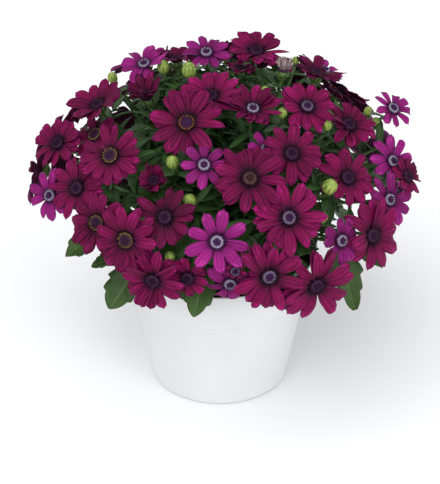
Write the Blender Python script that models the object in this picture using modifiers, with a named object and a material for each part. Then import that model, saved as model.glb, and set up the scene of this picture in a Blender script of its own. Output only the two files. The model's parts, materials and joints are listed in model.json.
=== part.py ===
"""Osteospermum in flower, in its nursery pot.

A tapered pot with a collar holds a plug of soil. Five leafy stems stand in
plain holes in the soil and fork into flower stalks, each ending in a calyx
under one bloom. The blooms cover a low dome. Lengths are millimetres here and
become metres in mesh_object() and revolve().
"""

import math
import random

import bmesh
import bpy
from mathutils import Matrix, Vector
from mathutils.bvhtree import BVHTree

MM = 0.001

# Pot: a six-inch azalea pot
POT_HEIGHT = 114.0
POT_BASE_RADIUS = 54.0
POT_TAPER = 0.194
POT_WALL = 2.0
POT_FLOOR = 3.0
POT_EDGE_ROUND = 3.0
COLLAR_BOTTOM = 82.0
COLLAR_STEP = 1.3
COLLAR_INSET = 0.6
LIP_SLOPE = 0.6
POT_SIDES = 28
DRAIN_HOLES = 4
DRAIN_RADIUS = 5.0
DRAIN_RING = 27.0

# Soil
SOIL_TOP = 101.0
SOIL_GAP = 0.35
HOLE_SIDES = 8
HOLE_GAP = 0.9
HOLE_DEPTH = 26.0

# The dome that the flower centres lie on
DOME_CENTRE = 160.0
DOME_RADIUS = 140.0
DOME_UP = 103.0
DOME_DOWN = 72.0

# The front view that the visible blooms are placed from
VIEW_ELEVATION = math.radians(31.4)
VIEW_DISTANCE = 1500.0
VIEW_FOCAL = 1935.0
VIEW_AIM = 116.6
VIEW_X = 219.5
VIEW_Y = 242.0

# Blooms
HUB = 5.6
EYE_HEIGHT = 2.8
HUB_DEPTH = 2.0
PETAL_WIDTH = 0.35
RIB_TOP = 0.7
RIB_BOTTOM = 0.6
UNDER_HIGH = -0.3
UNDER_LOW = -2.2
CLEARANCE = 0.45
BACK_RADIUS = 27.0
BACK_SPACING = 30
BACK_CANDIDATES = 190
BACK_LOWEST = 140.0
BACK_LOW_WIDTH = 100
BACK_EDGE = -0.12
BACK_PETALS = 7
GROUP_SIZE = 4
GROUP_REACH = 50.0
LINK_OVERLAP = 3.5
LINK_RISES = (0.0, 2.5, -2.5, 5.0, -5.0, 8.0, -8.0, 11.0, 14.0, 18.0)
ROUND_TIPS_ABOVE = 19.5
FRONT_STATIONS = ((0.5, 1.0), (0.87, 0.78))
BACK_STATIONS = ((0.64, 1.0),)

# Stems
STEM_COUNT = 5
STEM_RING = 17.0
STEM_RADIUS = 3.2
STALK_RADIUS = 1.2
CALYX_RADIUS = 4.2
CALYX_LENGTH = 8.0
STALK_SIDES = 3

# Leaves
LEAF_LENGTH = 34.0
LEAF_WIDTH = 13.0
CORE_LENGTH = 46.0
CORE_WIDTH = 19.0
CORE_LEAVES = 9
LEAF_SHARE = 0.5
LEAF_THICK = 1.1
FLAT_ANGLES = (1.5, 0.8, 0.3, 0.0)
RIM_BACK_LEAVES = 7
LEAF_FORWARD = 4
LOW_LIMB_BELOW = 148.0

# How a petal leaves the hub and how it ends, in degrees above the hub's plane
FORMS = {
    "flat": (10, -4),
    "open": (16, -14),
    "droop": (6, -48),
    "cup": (34, 12),
    "half": (62, 44),
    "rolled": (78, 66),
}

BURGUNDY = "petal_burgundy"
MAGENTA = "petal_magenta"

# Blooms seen from the front: centre and radius in the front view's pixels,
# petals, colour, lift off the dome, lean to the viewer, lean upward, form
FRONT = {
    "01": (57, 145, 28, 10, BURGUNDY, 5, 0.8, 0.1, "open"),
    "02": (97, 106, 31, 10, BURGUNDY, 4, 0.2, 0.2, "cup"),
    "03": (109, 158, 34, 13, BURGUNDY, 6, 0.8, 0.0, "flat"),
    "04": (98, 133, 28, 9, BURGUNDY, -8, 0.2, 0.0, "open"),
    "05": (143, 65, 27, 9, MAGENTA, 5, 0.6, 0.3, "open"),
    "06": (147, 97, 27, 9, BURGUNDY, 0, 0.0, 0.2, "half"),
    "07": (160, 52, 18, 8, MAGENTA, -6, 0.0, 0.3, "cup"),
    "08": (176, 60, 25, 9, BURGUNDY, 3, -0.2, 0.6, "cup"),
    "09": (206, 53, 26, 9, MAGENTA, 6, 0.8, 0.3, "flat"),
    "10": (257, 52, 33, 10, BURGUNDY, 6, 0.5, 0.4, "cup"),
    "11": (240, 70, 18, 8, BURGUNDY, -9, 0.0, 0.3, "cup"),
    "12": (211, 97, 33, 10, BURGUNDY, 2, 0.3, 0.2, "cup"),
    "13": (186, 125, 39, 10, BURGUNDY, 6, 0.8, 0.0, "flat"),
    "14": (253, 110, 30, 10, BURGUNDY, 2, 0.2, 0.2, "cup"),
    "15": (204, 167, 27, 8, MAGENTA, 4, 0.6, 0.0, "flat"),
    "16": (265, 148, 22, 8, MAGENTA, -6, 0.1, 0.0, "open"),
    "17": (308, 108, 30, 11, BURGUNDY, 4, 0.6, 0.2, "flat"),
    "18": (317, 74, 28, 9, BURGUNDY, 2, 0.1, 0.3, "cup"),
    "19": (331, 64, 22, 8, MAGENTA, 2, 0.6, 0.3, "open"),
    "20": (343, 86, 20, 8, BURGUNDY, -8, 0.0, 0.0, "open"),
    "21": (370, 103, 14, 7, BURGUNDY, -3, -0.3, 0.3, "cup"),
    "22": (349, 126, 31, 10, BURGUNDY, 2, 0.4, 0.3, "open"),
    "23": (397, 114, 24, 9, MAGENTA, 19, 0.9, 0.2, "open"),
    "24": (393, 163, 27, 9, MAGENTA, 6, 0.8, 0.0, "flat"),
    "25": (292, 155, 33, 10, BURGUNDY, 3, 0.6, 0.0, "open"),
    "26": (347, 178, 31, 10, BURGUNDY, 0, 0.4, 0.0, "open"),
    "27": (250, 181, 38, 11, BURGUNDY, 5, 0.2, 0.1, "open"),
    "28": (289, 220, 37, 11, BURGUNDY, 6, 0.2, 0.0, "flat"),
    "29": (50, 197, 27, 9, MAGENTA, 6, 0.9, 0.0, "open"),
    "30": (77, 189, 32, 10, BURGUNDY, 2, 0.5, 0.0, "open"),
    "31": (97, 223, 33, 10, BURGUNDY, 1, 0.3, 0.0, "open"),
    "32": (126, 241, 36, 11, BURGUNDY, 5, 0.2, -0.2, "open"),
    "33": (165, 218, 32, 12, BURGUNDY, 2, 0.3, 0.0, "flat"),
    "34": (156, 178, 22, 8, BURGUNDY, -8, 0.0, 0.0, "half"),
    "35": (153, 280, 33, 10, BURGUNDY, 2, 0.2, -0.2, "open"),
    "36": (217, 243, 34, 9, MAGENTA, 4, 0.1, 0.0, "flat"),
    "37": (188, 277, 25, 8, BURGUNDY, -6, -0.2, 0.0, "open"),
    "38": (230, 283, 28, 8, MAGENTA, -2, 0.0, -0.2, "droop"),
    "39": (235, 271, 12, 7, BURGUNDY, 3, 0.0, 0.0, "half"),
    "40": (269, 277, 38, 12, BURGUNDY, 7, 0.2, -0.1, "open"),
    "41": (295, 292, 25, 8, BURGUNDY, -6, 0.0, 0.0, "open"),
    "42": (316, 285, 40, 11, BURGUNDY, 5, 0.2, -0.1, "open"),
    "43": (341, 241, 27, 9, MAGENTA, 3, 0.1, 0.0, "flat"),
    "44": (372, 236, 38, 10, BURGUNDY, 5, 0.3, 0.0, "open"),
    "45": (389, 200, 28, 9, MAGENTA, 2, 0.8, 0.0, "open"),
    "46": (408, 179, 22, 8, BURGUNDY, 12, 0.6, 0.0, "open"),
    "47": (385, 258, 20, 7, MAGENTA, -7, 0.0, 0.0, "open"),
    "48": (226, 41, 18, 7, BURGUNDY, -3, 0.0, 0.3, "half"),
    "49": (284, 70, 14, 7, MAGENTA, 2, 0.0, 0.6, "rolled"),
}

# Front blooms of one colour that grow into each other and share a node
SHARED = {
    "04": "03",
    "07": "05",
    "11": "10",
    "20": "18",
    "21": "22",
    "34": "33",
    "37": "35",
    "39": "40",
    "41": "40",
    "47": "43",
}

# Buds seen from the front: centre and radius in the view's pixels, lift off the dome
BUDS = {
    "a": (163, 67, 6, 2),
    "b": (189, 70, 7, 0),
    "c": (112, 78, 5, 2),
    "d": (173, 161, 6, -3),
    "e": (282, 113, 5, 0),
    "f": (265, 91, 4, 2),
    "g": (369, 112, 4, 4),
    "h": (376, 122, 4, 2),
    "i": (327, 125, 5, 0),
    "j": (330, 187, 7, 1),
    "k": (190, 197, 6, -8),
    "l": (170, 255, 5, -8),
    "m": (322, 216, 5, -6),
    "n": (296, 60, 4, 0),
}

# Leaves hanging round the rim: base and tip in the view's pixels, width, depth inward
RIM_LEAVES = {
    "a": (138, 262, 110, 309, 38, 24),
    "b": (94, 234, 64, 254, 26, 20),
    "c": (117, 254, 91, 265, 14, 18),
    "d": (204, 268, 195, 317, 30, 26),
    "e": (333, 258, 360, 308, 42, 27),
    "f": (356, 256, 382, 268, 14, 18),
    "g": (352, 92, 348, 112, 12, 14),
}


def view_axes():
    """Direction to the viewer and the view's upward direction."""
    back = Vector((0.0, -math.cos(VIEW_ELEVATION), math.sin(VIEW_ELEVATION)))
    up = Vector((0.0, math.sin(VIEW_ELEVATION), math.cos(VIEW_ELEVATION)))
    return back, up


def dome_height(z):
    return DOME_UP if z > DOME_CENTRE else DOME_DOWN


def dome_normal(point):
    height = dome_height(point.z)
    return Vector(
        (
            point.x / DOME_RADIUS**2,
            point.y / DOME_RADIUS**2,
            (point.z - DOME_CENTRE) / height**2,
        )
    ).normalized()


def onto_dome(point):
    """The point moved straight away from the dome's centre onto the dome."""
    offset = point - Vector((0.0, 0.0, DOME_CENTRE))
    height = dome_height(point.z)
    size = math.sqrt(
        (offset.x**2 + offset.y**2) / DOME_RADIUS**2 + offset.z**2 / height**2
    )
    return Vector((0.0, 0.0, DOME_CENTRE)) + offset / size


def from_view(x, y, lift=0.0):
    """The point seen at a pixel of the front view, on the dome raised by a lift."""
    back, up = view_axes()
    eye = Vector((0.0, 0.0, VIEW_AIM)) + back * VIEW_DISTANCE
    ray = Vector((x - VIEW_X, 0.0, 0.0)) + up * (VIEW_Y - y) - back * VIEW_FOCAL
    ray.normalize()
    best = None
    for height in (DOME_UP, DOME_DOWN):
        wide = 1 / (DOME_RADIUS + lift)
        scale = Vector((wide, wide, 1 / (height + lift)))
        start = (eye - Vector((0.0, 0.0, DOME_CENTRE))) * scale
        step = ray * scale
        a = step.dot(step)
        b = start.dot(step)
        c = start.dot(start) - 1
        root = b * b - a * c
        reach = (-b - math.sqrt(max(root, 0.0))) / a
        point = eye + ray * reach
        if (point.z > DOME_CENTRE) == (height == DOME_UP):
            best = point
    if best is None:
        best = point
    point = onto_dome(best)
    return point + dome_normal(point) * lift


def level_with(x, y, base, forward):
    """The point seen at a pixel, as far from the viewer as a base or a little nearer."""
    back, up = view_axes()
    eye = Vector((0.0, 0.0, VIEW_AIM)) + back * VIEW_DISTANCE
    ray = Vector((x - VIEW_X, 0.0, 0.0)) + up * (VIEW_Y - y) - back * VIEW_FOCAL
    reach = ((eye - base).dot(back) - forward) / VIEW_FOCAL
    return eye + ray * reach


class Bloom:
    """One flower: where it sits, how it faces and the petals it has."""

    def __init__(self, name, hub, facing, radius, count, colour, form, node):
        self.name = name
        self.hub = hub
        self.facing = facing
        self.radius = radius
        self.count = count
        self.colour = colour
        self.form = form
        self.node = node
        self.draw = random.Random("bloom " + name)
        self.spin = self.draw.uniform(0, math.tau / count)
        self.small = HUB * min(1.0, 0.5 + radius / 52)
        side = Vector((0.0, 0.0, 1.0)).cross(facing)
        if side.length < 0.05:
            side = Vector((1.0, 0.0, 0.0))
        side.normalize()
        up = facing.cross(side)
        self.frame = Matrix((side, up, facing)).transposed().to_4x4()
        self.frame.translation = hub
        self.turns = []
        self.links = {}
        self.rises = {}
        self.petals = []
        self.tree = None
        self.early = None

    def place(self, points):
        return [self.frame @ point for point in points]

    def direction_to(self, point):
        local = self.frame.inverted() @ point
        return math.atan2(local.y, local.x) % math.tau

    def arrange(self, partners):
        """Spreads the petals round the hub so that one of them points at each partner."""
        aims = sorted((self.direction_to(other.hub), other.name, other) for other in partners)
        if not aims:
            step = math.tau / self.count
            self.turns = [self.spin + step * index for index in range(self.count)]
            return
        self.turns = []
        left = self.count
        for index, (turn, _, other) in enumerate(aims):
            after = aims[(index + 1) % len(aims)][0]
            span = (after - turn) % math.tau or math.tau
            share = max(round(self.count * span / math.tau), 1)
            if index == len(aims) - 1:
                share = max(left, 1)
            left -= share
            self.links[len(self.turns)] = other
            self.turns += [turn + span * step / share for step in range(share)]
        self.count = len(self.turns)

    def bound(self, index):
        """Angle of the hub corner before a petal."""
        before = self.turns[index - 1]
        here = self.turns[index % self.count]
        return here - ((here - before) % math.tau or math.tau) / 2

    def half(self, index):
        here = self.turns[index % self.count]
        before = (here - self.bound(index)) % math.tau
        after = (self.bound((index + 1) % self.count) - here) % math.tau
        return min(before, after)


def bloom_from_plan(name, row):
    x, y, size, count, colour, lift, lean_view, lean_up, form = row
    back, _ = view_axes()
    hub = from_view(x, y, lift)
    normal = dome_normal(hub)
    facing = normal + back * lean_view + Vector((0.0, 0.0, lean_up))
    facing.normalize()
    eye = Vector((0.0, 0.0, VIEW_AIM)) + back * VIEW_DISTANCE
    scale = (eye - hub).dot(back) / VIEW_FOCAL
    node = "bloom_" + SHARED.get(name, name)
    return Bloom(name, hub, facing, size * scale, count, colour, form, node)


def back_blooms(front):
    """Blooms for the sides and back, spread evenly and clear of the front ones."""
    draw = random.Random("back of the dome")
    back, _ = view_axes()
    found = []
    for index in range(BACK_CANDIDATES):
        turn = index * math.pi * (3 - math.sqrt(5)) + draw.uniform(-0.12, 0.12)
        high = 1 - 1.56 * (index + 0.5) / BACK_CANDIDATES
        ring = math.sqrt(1 - high * high)
        height = DOME_UP if high > 0 else DOME_DOWN
        point = Vector(
            (
                DOME_RADIUS * ring * math.cos(turn),
                DOME_RADIUS * ring * math.sin(turn),
                DOME_CENTRE + height * high,
            )
        )
        normal = dome_normal(point)
        beside = point.z < BACK_LOWEST and abs(point.x) > BACK_LOW_WIDTH
        if normal.dot(back) > BACK_EDGE or beside:
            continue
        near = min((point - other.hub).length for other in front + found)
        if near < BACK_SPACING:
            continue
        facing = (normal + Vector((0.0, 0.0, draw.uniform(0.1, 0.4)))).normalized()
        hub = point + normal * draw.uniform(-2.0, 3.0)
        name = "k%02d" % len(found)
        radius = BACK_RADIUS + draw.uniform(-1.5, 2.0)
        form = draw.choice(("open", "open", "flat", "droop"))
        found.append(Bloom(name, hub, facing, radius, BACK_PETALS, BURGUNDY, form, ""))
    return found


def gap_between(bloom, others):
    return min((bloom.hub - other.hub).length for other in others)


def group_back(blooms):
    """Joins neighbouring back blooms into sprays, each in one colour."""
    waiting = list(blooms)
    sprays = []
    while waiting:
        lonely = max(
            waiting,
            key=lambda bloom: gap_between(bloom, [b for b in waiting if b is not bloom] or [bloom]),
        )
        waiting.remove(lonely)
        group = [lonely]
        while waiting and len(group) < GROUP_SIZE:
            nearest = min(waiting, key=lambda bloom: gap_between(bloom, group))
            if gap_between(nearest, group) > GROUP_REACH:
                break
            waiting.remove(nearest)
            group.append(nearest)
        sprays.append(group)
    for index, group in enumerate(sprays):
        colour = MAGENTA if index % 3 == 1 else BURGUNDY
        for bloom in group:
            bloom.node = "spray_%02d" % index
            bloom.colour = colour


def link_groups(blooms):
    """Chooses which blooms of a node reach for each other, as a tree of short steps."""
    nodes = {}
    for bloom in blooms:
        nodes.setdefault(bloom.node, []).append(bloom)
    partners = {bloom.name: [] for bloom in blooms}
    for members in nodes.values():
        joined = members[:1]
        loose = members[1:]
        while loose:
            pairs = [(one, two) for one in joined for two in loose]
            one, two = min(pairs, key=lambda pair: (pair[0].hub - pair[1].hub).length)
            partners[one.name].append(two)
            partners[two.name].append(one)
            joined.append(two)
            loose.remove(two)
    for bloom in blooms:
        bloom.arrange(partners[bloom.name])
    return nodes


def along_petal(bloom, index, length, start, end, share):
    """Radius, height and slope of a petal's middle line at a share of its length."""
    radius = bloom.small * math.cos(bloom.half(index))
    height = 0.0
    steps = 8
    for step in range(steps):
        angle = start + (end - start) * share * (step + 0.5) / steps
        radius += math.cos(angle) * length * share / steps
        height += math.sin(angle) * length * share / steps
    return radius, height, start + (end - start) * share


def petal_outline(bloom, index, length, start, end, twist, detail):
    """Rim points from one side of the root round the tip, then the two rib points."""
    turn = bloom.turns[index]
    outward = Vector((math.cos(turn), math.sin(turn), 0.0))
    across = Vector((-math.sin(turn), math.cos(turn), 0.0))
    stations = FRONT_STATIONS if bloom.name in FRONT else BACK_STATIONS
    full = 0.5 * PETAL_WIDTH * min(length + bloom.small, bloom.radius)

    def on_line(share):
        radius, height, slope = along_petal(bloom, index, length, start, end, share)
        point = outward * radius + Vector((0.0, 0.0, height))
        normal = outward * -math.sin(slope) + Vector((0.0, 0.0, math.cos(slope)))
        return radius, point, normal

    left, right = [], []
    for share, wide in stations:
        radius, point, _ = on_line(share)
        reach = min(full * wide, 0.93 * radius * math.tan(bloom.half(index)))
        rise = Vector((0.0, 0.0, reach * math.sin(twist)))
        left.append(point - across * reach * math.cos(twist) - rise)
        right.append(point + across * reach * math.cos(twist) + rise)
    rim = left[:]
    if detail:
        rim.append(on_line(1.0)[1])
    rim += right[::-1]
    _, middle, normal = on_line(0.5)
    return rim, middle + normal * RIB_TOP, middle - normal * RIB_BOTTOM


def link_shape(bloom, index, rise=None):
    """A straight petal that reaches through the middle between two joined blooms."""
    other = bloom.links[index]
    if rise is None:
        rise = bloom.rises[other.name]
    meeting = (bloom.hub + other.hub) / 2 + (bloom.facing + other.facing).normalized() * rise
    middle = bloom.frame.inverted() @ meeting
    across = math.hypot(middle.x, middle.y) - bloom.small * math.cos(bloom.half(index))
    slope = math.atan2(middle.z, across)
    length = math.hypot(across, middle.z) + LINK_OVERLAP
    return index, length, slope, slope, 0.0


def hub_ring(bloom):
    return [
        Vector((math.cos(bloom.bound(index)), math.sin(bloom.bound(index)), 0.0)) * bloom.small
        for index in range(bloom.count)
    ]


def thick_blade(rim, top, bottom, margin):
    """A blade grown by a margin on every side, used only to test for room."""
    middle = (top + bottom) / 2
    normal = (top - bottom).normalized()
    upper, lower = [], []
    for point in rim:
        out = point - middle
        out -= normal * out.dot(normal)
        out = out.normalized() * margin if out.length > 0 else out
        upper.append(point + out + normal * margin)
        lower.append(point + out - normal * margin)
    points = upper + lower + [top + normal * margin, bottom - normal * margin]
    count = len(rim)
    faces = []
    for index in range(count):
        after = (index + 1) % count
        faces.append((index, after, 2 * count))
        faces.append((count + after, count + index, 2 * count + 1))
        faces.append((after, index, count + index))
        faces.append((after, count + index, count + after))
    return points, faces


def tree_of(points, faces):
    return BVHTree.FromPolygons([tuple(point) for point in points], faces)


def outline_curve(sides):
    """A regular polygon of radius 1 that tubes take as their section."""
    name = "section_%d" % sides
    section = bpy.data.objects.get(name)
    if section is None:
        data = bpy.data.curves.new(name, "CURVE")
        data.dimensions = "2D"
        ring = data.splines.new("POLY")
        ring.points.add(sides - 1)
        ring.use_cyclic_u = True
        for index, point in enumerate(ring.points):
            turn = math.tau * index / sides
            point.co = (math.cos(turn), math.sin(turn), 0.0, 1.0)
        section = bpy.data.objects.new(name, data)
        section.hide_render = True
        bpy.context.scene.collection.objects.link(section)
    return section


def tube(path, radii, sides):
    """A closed tube along a path, as points and faces read from a bevelled curve."""
    data = bpy.data.curves.new("tube", "CURVE")
    data.dimensions = "3D"
    data.bevel_mode = "OBJECT"
    data.bevel_object = outline_curve(sides)
    data.use_fill_caps = True
    spline = data.splines.new("POLY")
    spline.points.add(len(path) - 1)
    for point, place, radius in zip(spline.points, path, radii):
        point.co = (*place, 1.0)
        point.radius = radius
    guide = bpy.data.objects.new("tube", data)
    bpy.context.scene.collection.objects.link(guide)
    graph = bpy.context.evaluated_depsgraph_get()
    mesh = bpy.data.meshes.new_from_object(guide.evaluated_get(graph))
    shape = bmesh.new()
    shape.from_mesh(mesh)
    bmesh.ops.remove_doubles(shape, verts=shape.verts[:], dist=1e-3)
    bmesh.ops.recalc_face_normals(shape, faces=shape.faces[:])
    bpy.data.meshes.remove(mesh)
    bpy.data.objects.remove(guide)
    bpy.data.curves.remove(data)
    return read_shape(shape)


def read_shape(shape):
    """Points and faces of a bmesh, which is then freed."""
    shape.verts.index_update()
    points = [corner.co.copy() for corner in shape.verts]
    faces = [tuple(corner.index for corner in face.verts) for face in shape.faces]
    shape.free()
    return points, faces


def limb_points(sector):
    """Middle lines of the low and the high limb of one leafy stem."""
    turn = math.tau * (sector + 0.25) / STEM_COUNT
    out = Vector((math.cos(turn), math.sin(turn), 0.0))
    rise = Vector((0.0, 0.0, 1.0))
    foot = SOIL_TOP - HOLE_DEPTH + 2.0
    high = [
        out * STEM_RING + rise * foot,
        out * STEM_RING + rise * (SOIL_TOP + 6),
        out * (STEM_RING + 6) + rise * 134,
        out * (STEM_RING + 13) + rise * 170,
        out * (STEM_RING + 20) + rise * 205,
    ]
    low = [
        out * (STEM_RING + 1) + rise * (SOIL_TOP + 12),
        out * (STEM_RING + 22) + rise * 129,
        out * (STEM_RING + 52) + rise * 140,
    ]
    return high, low


def sector_of(point):
    turn = math.atan2(point.y, point.x) / math.tau * STEM_COUNT - 0.25
    return round(turn) % STEM_COUNT


class Stalk:
    """One stalk: the end that carries something, how that end faces, and its thickness."""

    def __init__(self, name, tip, facing, depth, neck, radii):
        self.name = name
        self.tip = tip
        self.facing = facing
        self.start = tip - facing * depth
        self.neck = tip - facing * (depth + neck)
        self.radii = radii
        self.sector = sector_of(tip)
        bend = Vector((tip.x * 0.74, tip.y * 0.74, 0.0))
        bend.z = DOME_CENTRE + (tip.z - DOME_CENTRE) * 0.70
        self.bend = bend * 0.6 + (tip - facing * 30) * 0.4
        self.bend.z = max(self.bend.z, 129.0)
        self.joint = None

    def shape(self):
        path = [self.start, self.neck, self.bend, self.joint]
        radii = self.radii
        if self.tip.z > LOW_LIMB_BELOW:
            path, radii = path[:2] + path[3:], radii[:2] + radii[3:]
        return tube(path, radii, STALK_SIDES)

    def at(self, share):
        """A point of the stalk's middle line between its neck and its joint."""
        if self.tip.z > LOW_LIMB_BELOW:
            return self.neck.lerp(self.joint, share)
        return along_line([self.neck, self.bend, self.joint], share)

    def steepness(self):
        return math.atan2(self.tip.z - 118.0, math.hypot(self.tip.x, self.tip.y))


def along_line(line, share):
    """The point at a share of a polyline's length."""
    steps = [(two - one).length for one, two in zip(line, line[1:])]
    left = sum(steps) * share
    for one, two, step in zip(line, line[1:], steps):
        if left <= step:
            return one.lerp(two, left / step)
        left -= step
    return line[-1]


def join_stalks(stalks):
    """Gives every stalk its own place on its leafy stem, the steeper ones higher up."""
    for sector in range(STEM_COUNT):
        high, low = limb_points(sector)
        own = sorted(
            (stalk for stalk in stalks if stalk.sector == sector),
            key=lambda stalk: (stalk.steepness(), stalk.name),
        )
        flat = [stalk for stalk in own if stalk.tip.z < LOW_LIMB_BELOW]
        steep = [stalk for stalk in own if stalk.tip.z >= LOW_LIMB_BELOW]
        for index, stalk in enumerate(flat):
            stalk.joint = along_line(low, 0.99 - 0.62 * index / max(len(flat), 1))
        for index, stalk in enumerate(steep):
            stalk.joint = along_line(high, 0.42 + 0.57 * (index + 0.5) / len(steep))


def bloom_stalk(bloom):
    calyx = CALYX_RADIUS * bloom.small / HUB
    radii = [calyx, STALK_RADIUS, STALK_RADIUS, 1.5]
    return Stalk(bloom.name, bloom.hub, bloom.facing, HUB_DEPTH + 0.5, CALYX_LENGTH, radii)


def hub_shape(bloom):
    """A plain drum round the hub that other blooms stay out of."""
    drum = bmesh.new()
    height = EYE_HEIGHT + HUB_DEPTH + 1.5
    bmesh.ops.create_cone(
        drum,
        cap_ends=True,
        segments=8,
        radius1=bloom.small + 1.2,
        radius2=bloom.small + 1.2,
        depth=height,
        matrix=bloom.frame @ Matrix.Translation((0.0, 0.0, EYE_HEIGHT + 1.0 - height / 2)),
    )
    return read_shape(drum)


def near(first, second, reach):
    return (first.hub - second.hub).length < reach


def petal_probe(bloom, shape):
    """The petal grown by the clearance, to test for room."""
    index = shape[0]
    rim, top, bottom = petal_outline(bloom, *shape, True)
    ring = hub_ring(bloom)
    root = [ring[(index + 1) % bloom.count] * 1.04, ring[index] * 1.04]
    return thick_blade(
        bloom.place(root + rim), bloom.frame @ top, bloom.frame @ bottom, CLEARANCE
    )


def joined_trees(shapes):
    points, faces = [], []
    for more_points, more_faces in shapes:
        base = len(points)
        points += more_points
        faces += [tuple(base + index for index in face) for face in more_faces]
    return tree_of(points, faces)


def settle_links(blooms, stalks, hubs):
    """Raises or lowers the point where two joined petals meet until both have room."""
    placed = []
    for bloom in blooms:
        for index, other in bloom.links.items():
            if other.name in bloom.rises:
                continue
            back = next(place for place, one in other.links.items() if one is bloom)
            walls = list(stalks.values())
            walls += [tree for name, tree in hubs.items() if name not in (bloom.name, other.name)]
            walls += [tree for node, tree in placed if node != bloom.node]
            chosen = 0.0
            for rise in LINK_RISES:
                probes = [
                    petal_probe(bloom, link_shape(bloom, index, rise)),
                    petal_probe(other, link_shape(other, back, rise)),
                ]
                pair = joined_trees(probes)
                if not any(pair.overlap(wall) for wall in walls):
                    chosen = rise
                    placed.append((bloom.node, pair))
                    break
            bloom.rises[other.name] = chosen
            other.rises[bloom.name] = chosen
    for bloom in blooms:
        probes = [petal_probe(bloom, link_shape(bloom, index)) for index in bloom.links]
        bloom.early = joined_trees(probes) if probes else None


def grow_petals(bloom, blooms, stalks, hubs):
    """Gives each petal the first bend and length that keep it clear of its neighbours."""
    start, end = (math.radians(angle) for angle in FORMS[bloom.form])
    full = bloom.radius - bloom.small
    close = [other for other in blooms if other is not bloom and near(bloom, other, 95)]
    walls = list(stalks.values()) + [hubs[other.name] for other in close]
    for other in close:
        if other.node != bloom.node:
            walls += [tree for tree in (other.tree or other.early,) if tree]
    bends = [0, 7, -7, 14, -14, 21, -21, 30, -30, 40, -40, 52, -52, 64]
    for index in range(bloom.count):
        lift = math.radians(bloom.draw.uniform(-5, 5))
        curl = math.radians(bloom.draw.uniform(-8, 8))
        grown = full * bloom.draw.uniform(0.93, 1.05)
        twist = math.radians(bloom.draw.uniform(-14, 14))
        chosen = None
        if index in bloom.links:
            bloom.petals.append(link_shape(bloom, index))
            continue
        for short in (1.0, 0.86, 0.72, 0.56):
            for bend in bends:
                tilt = math.radians(bend)
                shape = (index, grown * short, start + lift + tilt * 0.6, end + curl + tilt, twist)
                probe = tree_of(*petal_probe(bloom, shape))
                if not any(probe.overlap(wall) for wall in walls):
                    chosen = shape
                    break
            if chosen:
                break
        bloom.petals.append(chosen)
    bloom.tree = tree_of(*bloom_shape(bloom))


def line_height(first, second, radius):
    """Height at a radius of the line through two points, seen along the hub's rim."""
    start = math.hypot(first.x, first.y)
    end = math.hypot(second.x, second.y)
    return first.z + (second.z - first.z) * (radius - start) / max(end - start, 0.01)


def bloom_shape(bloom):
    """One closed body: the hub with its eye, and every petal grown from the hub's rim."""
    detail = bloom.radius > ROUND_TIPS_ABOVE
    ring = hub_ring(bloom)
    count = bloom.count
    points = ring + [Vector((0.0, 0.0, EYE_HEIGHT)), Vector((0.0, 0.0, -HUB_DEPTH))]
    eye, base = count, count + 1
    faces = []
    for index, shape in enumerate(bloom.petals):
        after = (index + 1) % count
        if shape is None:
            faces += [(index, after, eye), (after, index, base)]
            continue
        rim, top, bottom = petal_outline(bloom, *shape, detail)
        first = len(points)
        points += rim + [top, bottom]
        crest, keel = len(points) - 2, len(points) - 1
        loop = [index] + list(range(first, first + len(rim))) + [after]
        for one, two in zip(loop, loop[1:]):
            faces.append((one, two, crest))
            faces.append((two, one, keel))
        outward = Vector((math.cos(bloom.turns[index]), math.sin(bloom.turns[index]), 0.0))
        over, under = eye, base
        if line_height(points[eye], top, bloom.small) < 0.5:
            points.append(outward * bloom.small * 0.86 + Vector((0.0, 0.0, 1.1)))
            over = len(points) - 1
            faces += [(index, over, eye), (over, after, eye)]
        low = line_height(points[base], bottom, bloom.small)
        if low > UNDER_HIGH or low < UNDER_LOW:
            depth = 0.9 if low > UNDER_HIGH else 1.5
            points.append(outward * bloom.small * 0.9 - Vector((0.0, 0.0, depth)))
            under = len(points) - 1
            faces += [(under, index, base), (after, under, base)]
        faces += [(index, crest, over), (crest, after, over)]
        faces += [(keel, index, under), (after, keel, under)]
    return bloom.place(points), faces


def material(name, colour, rough):
    made = bpy.data.materials.get(name)
    if made is None:
        made = bpy.data.materials.new(name)
        made.use_nodes = True
        shader = made.node_tree.nodes["Principled BSDF"]
        shader.inputs["Base Color"].default_value = (*colour, 1.0)
        shader.inputs["Roughness"].default_value = rough
    return made


FINISHES = {
    BURGUNDY: ((0.16, 0.008, 0.055), 0.6),
    MAGENTA: ((0.36, 0.035, 0.23), 0.6),
    "foliage": ((0.045, 0.12, 0.02), 0.6),
    "pot": ((0.80, 0.81, 0.83), 0.4),
    "soil": ((0.03, 0.018, 0.01), 0.9),
}


def mesh_object(name, points, faces, home):
    """A mesh object with outward faces, its lengths turned to metres."""
    made = bmesh.new()
    corners = [made.verts.new(point * MM) for point in points]
    for face in faces:
        made.faces.new([corners[index] for index in face])
    bmesh.ops.triangulate(made, faces=made.faces[:])
    bmesh.ops.recalc_face_normals(made, faces=made.faces[:])
    mesh = bpy.data.meshes.new(name)
    made.to_mesh(mesh)
    made.free()
    thing = bpy.data.objects.new(name, mesh)
    home.objects.link(thing)
    return thing


def finish(thing, slot):
    thing.data.materials.clear()
    thing.data.materials.append(material(slot, *FINISHES[slot]))
    return thing


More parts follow.
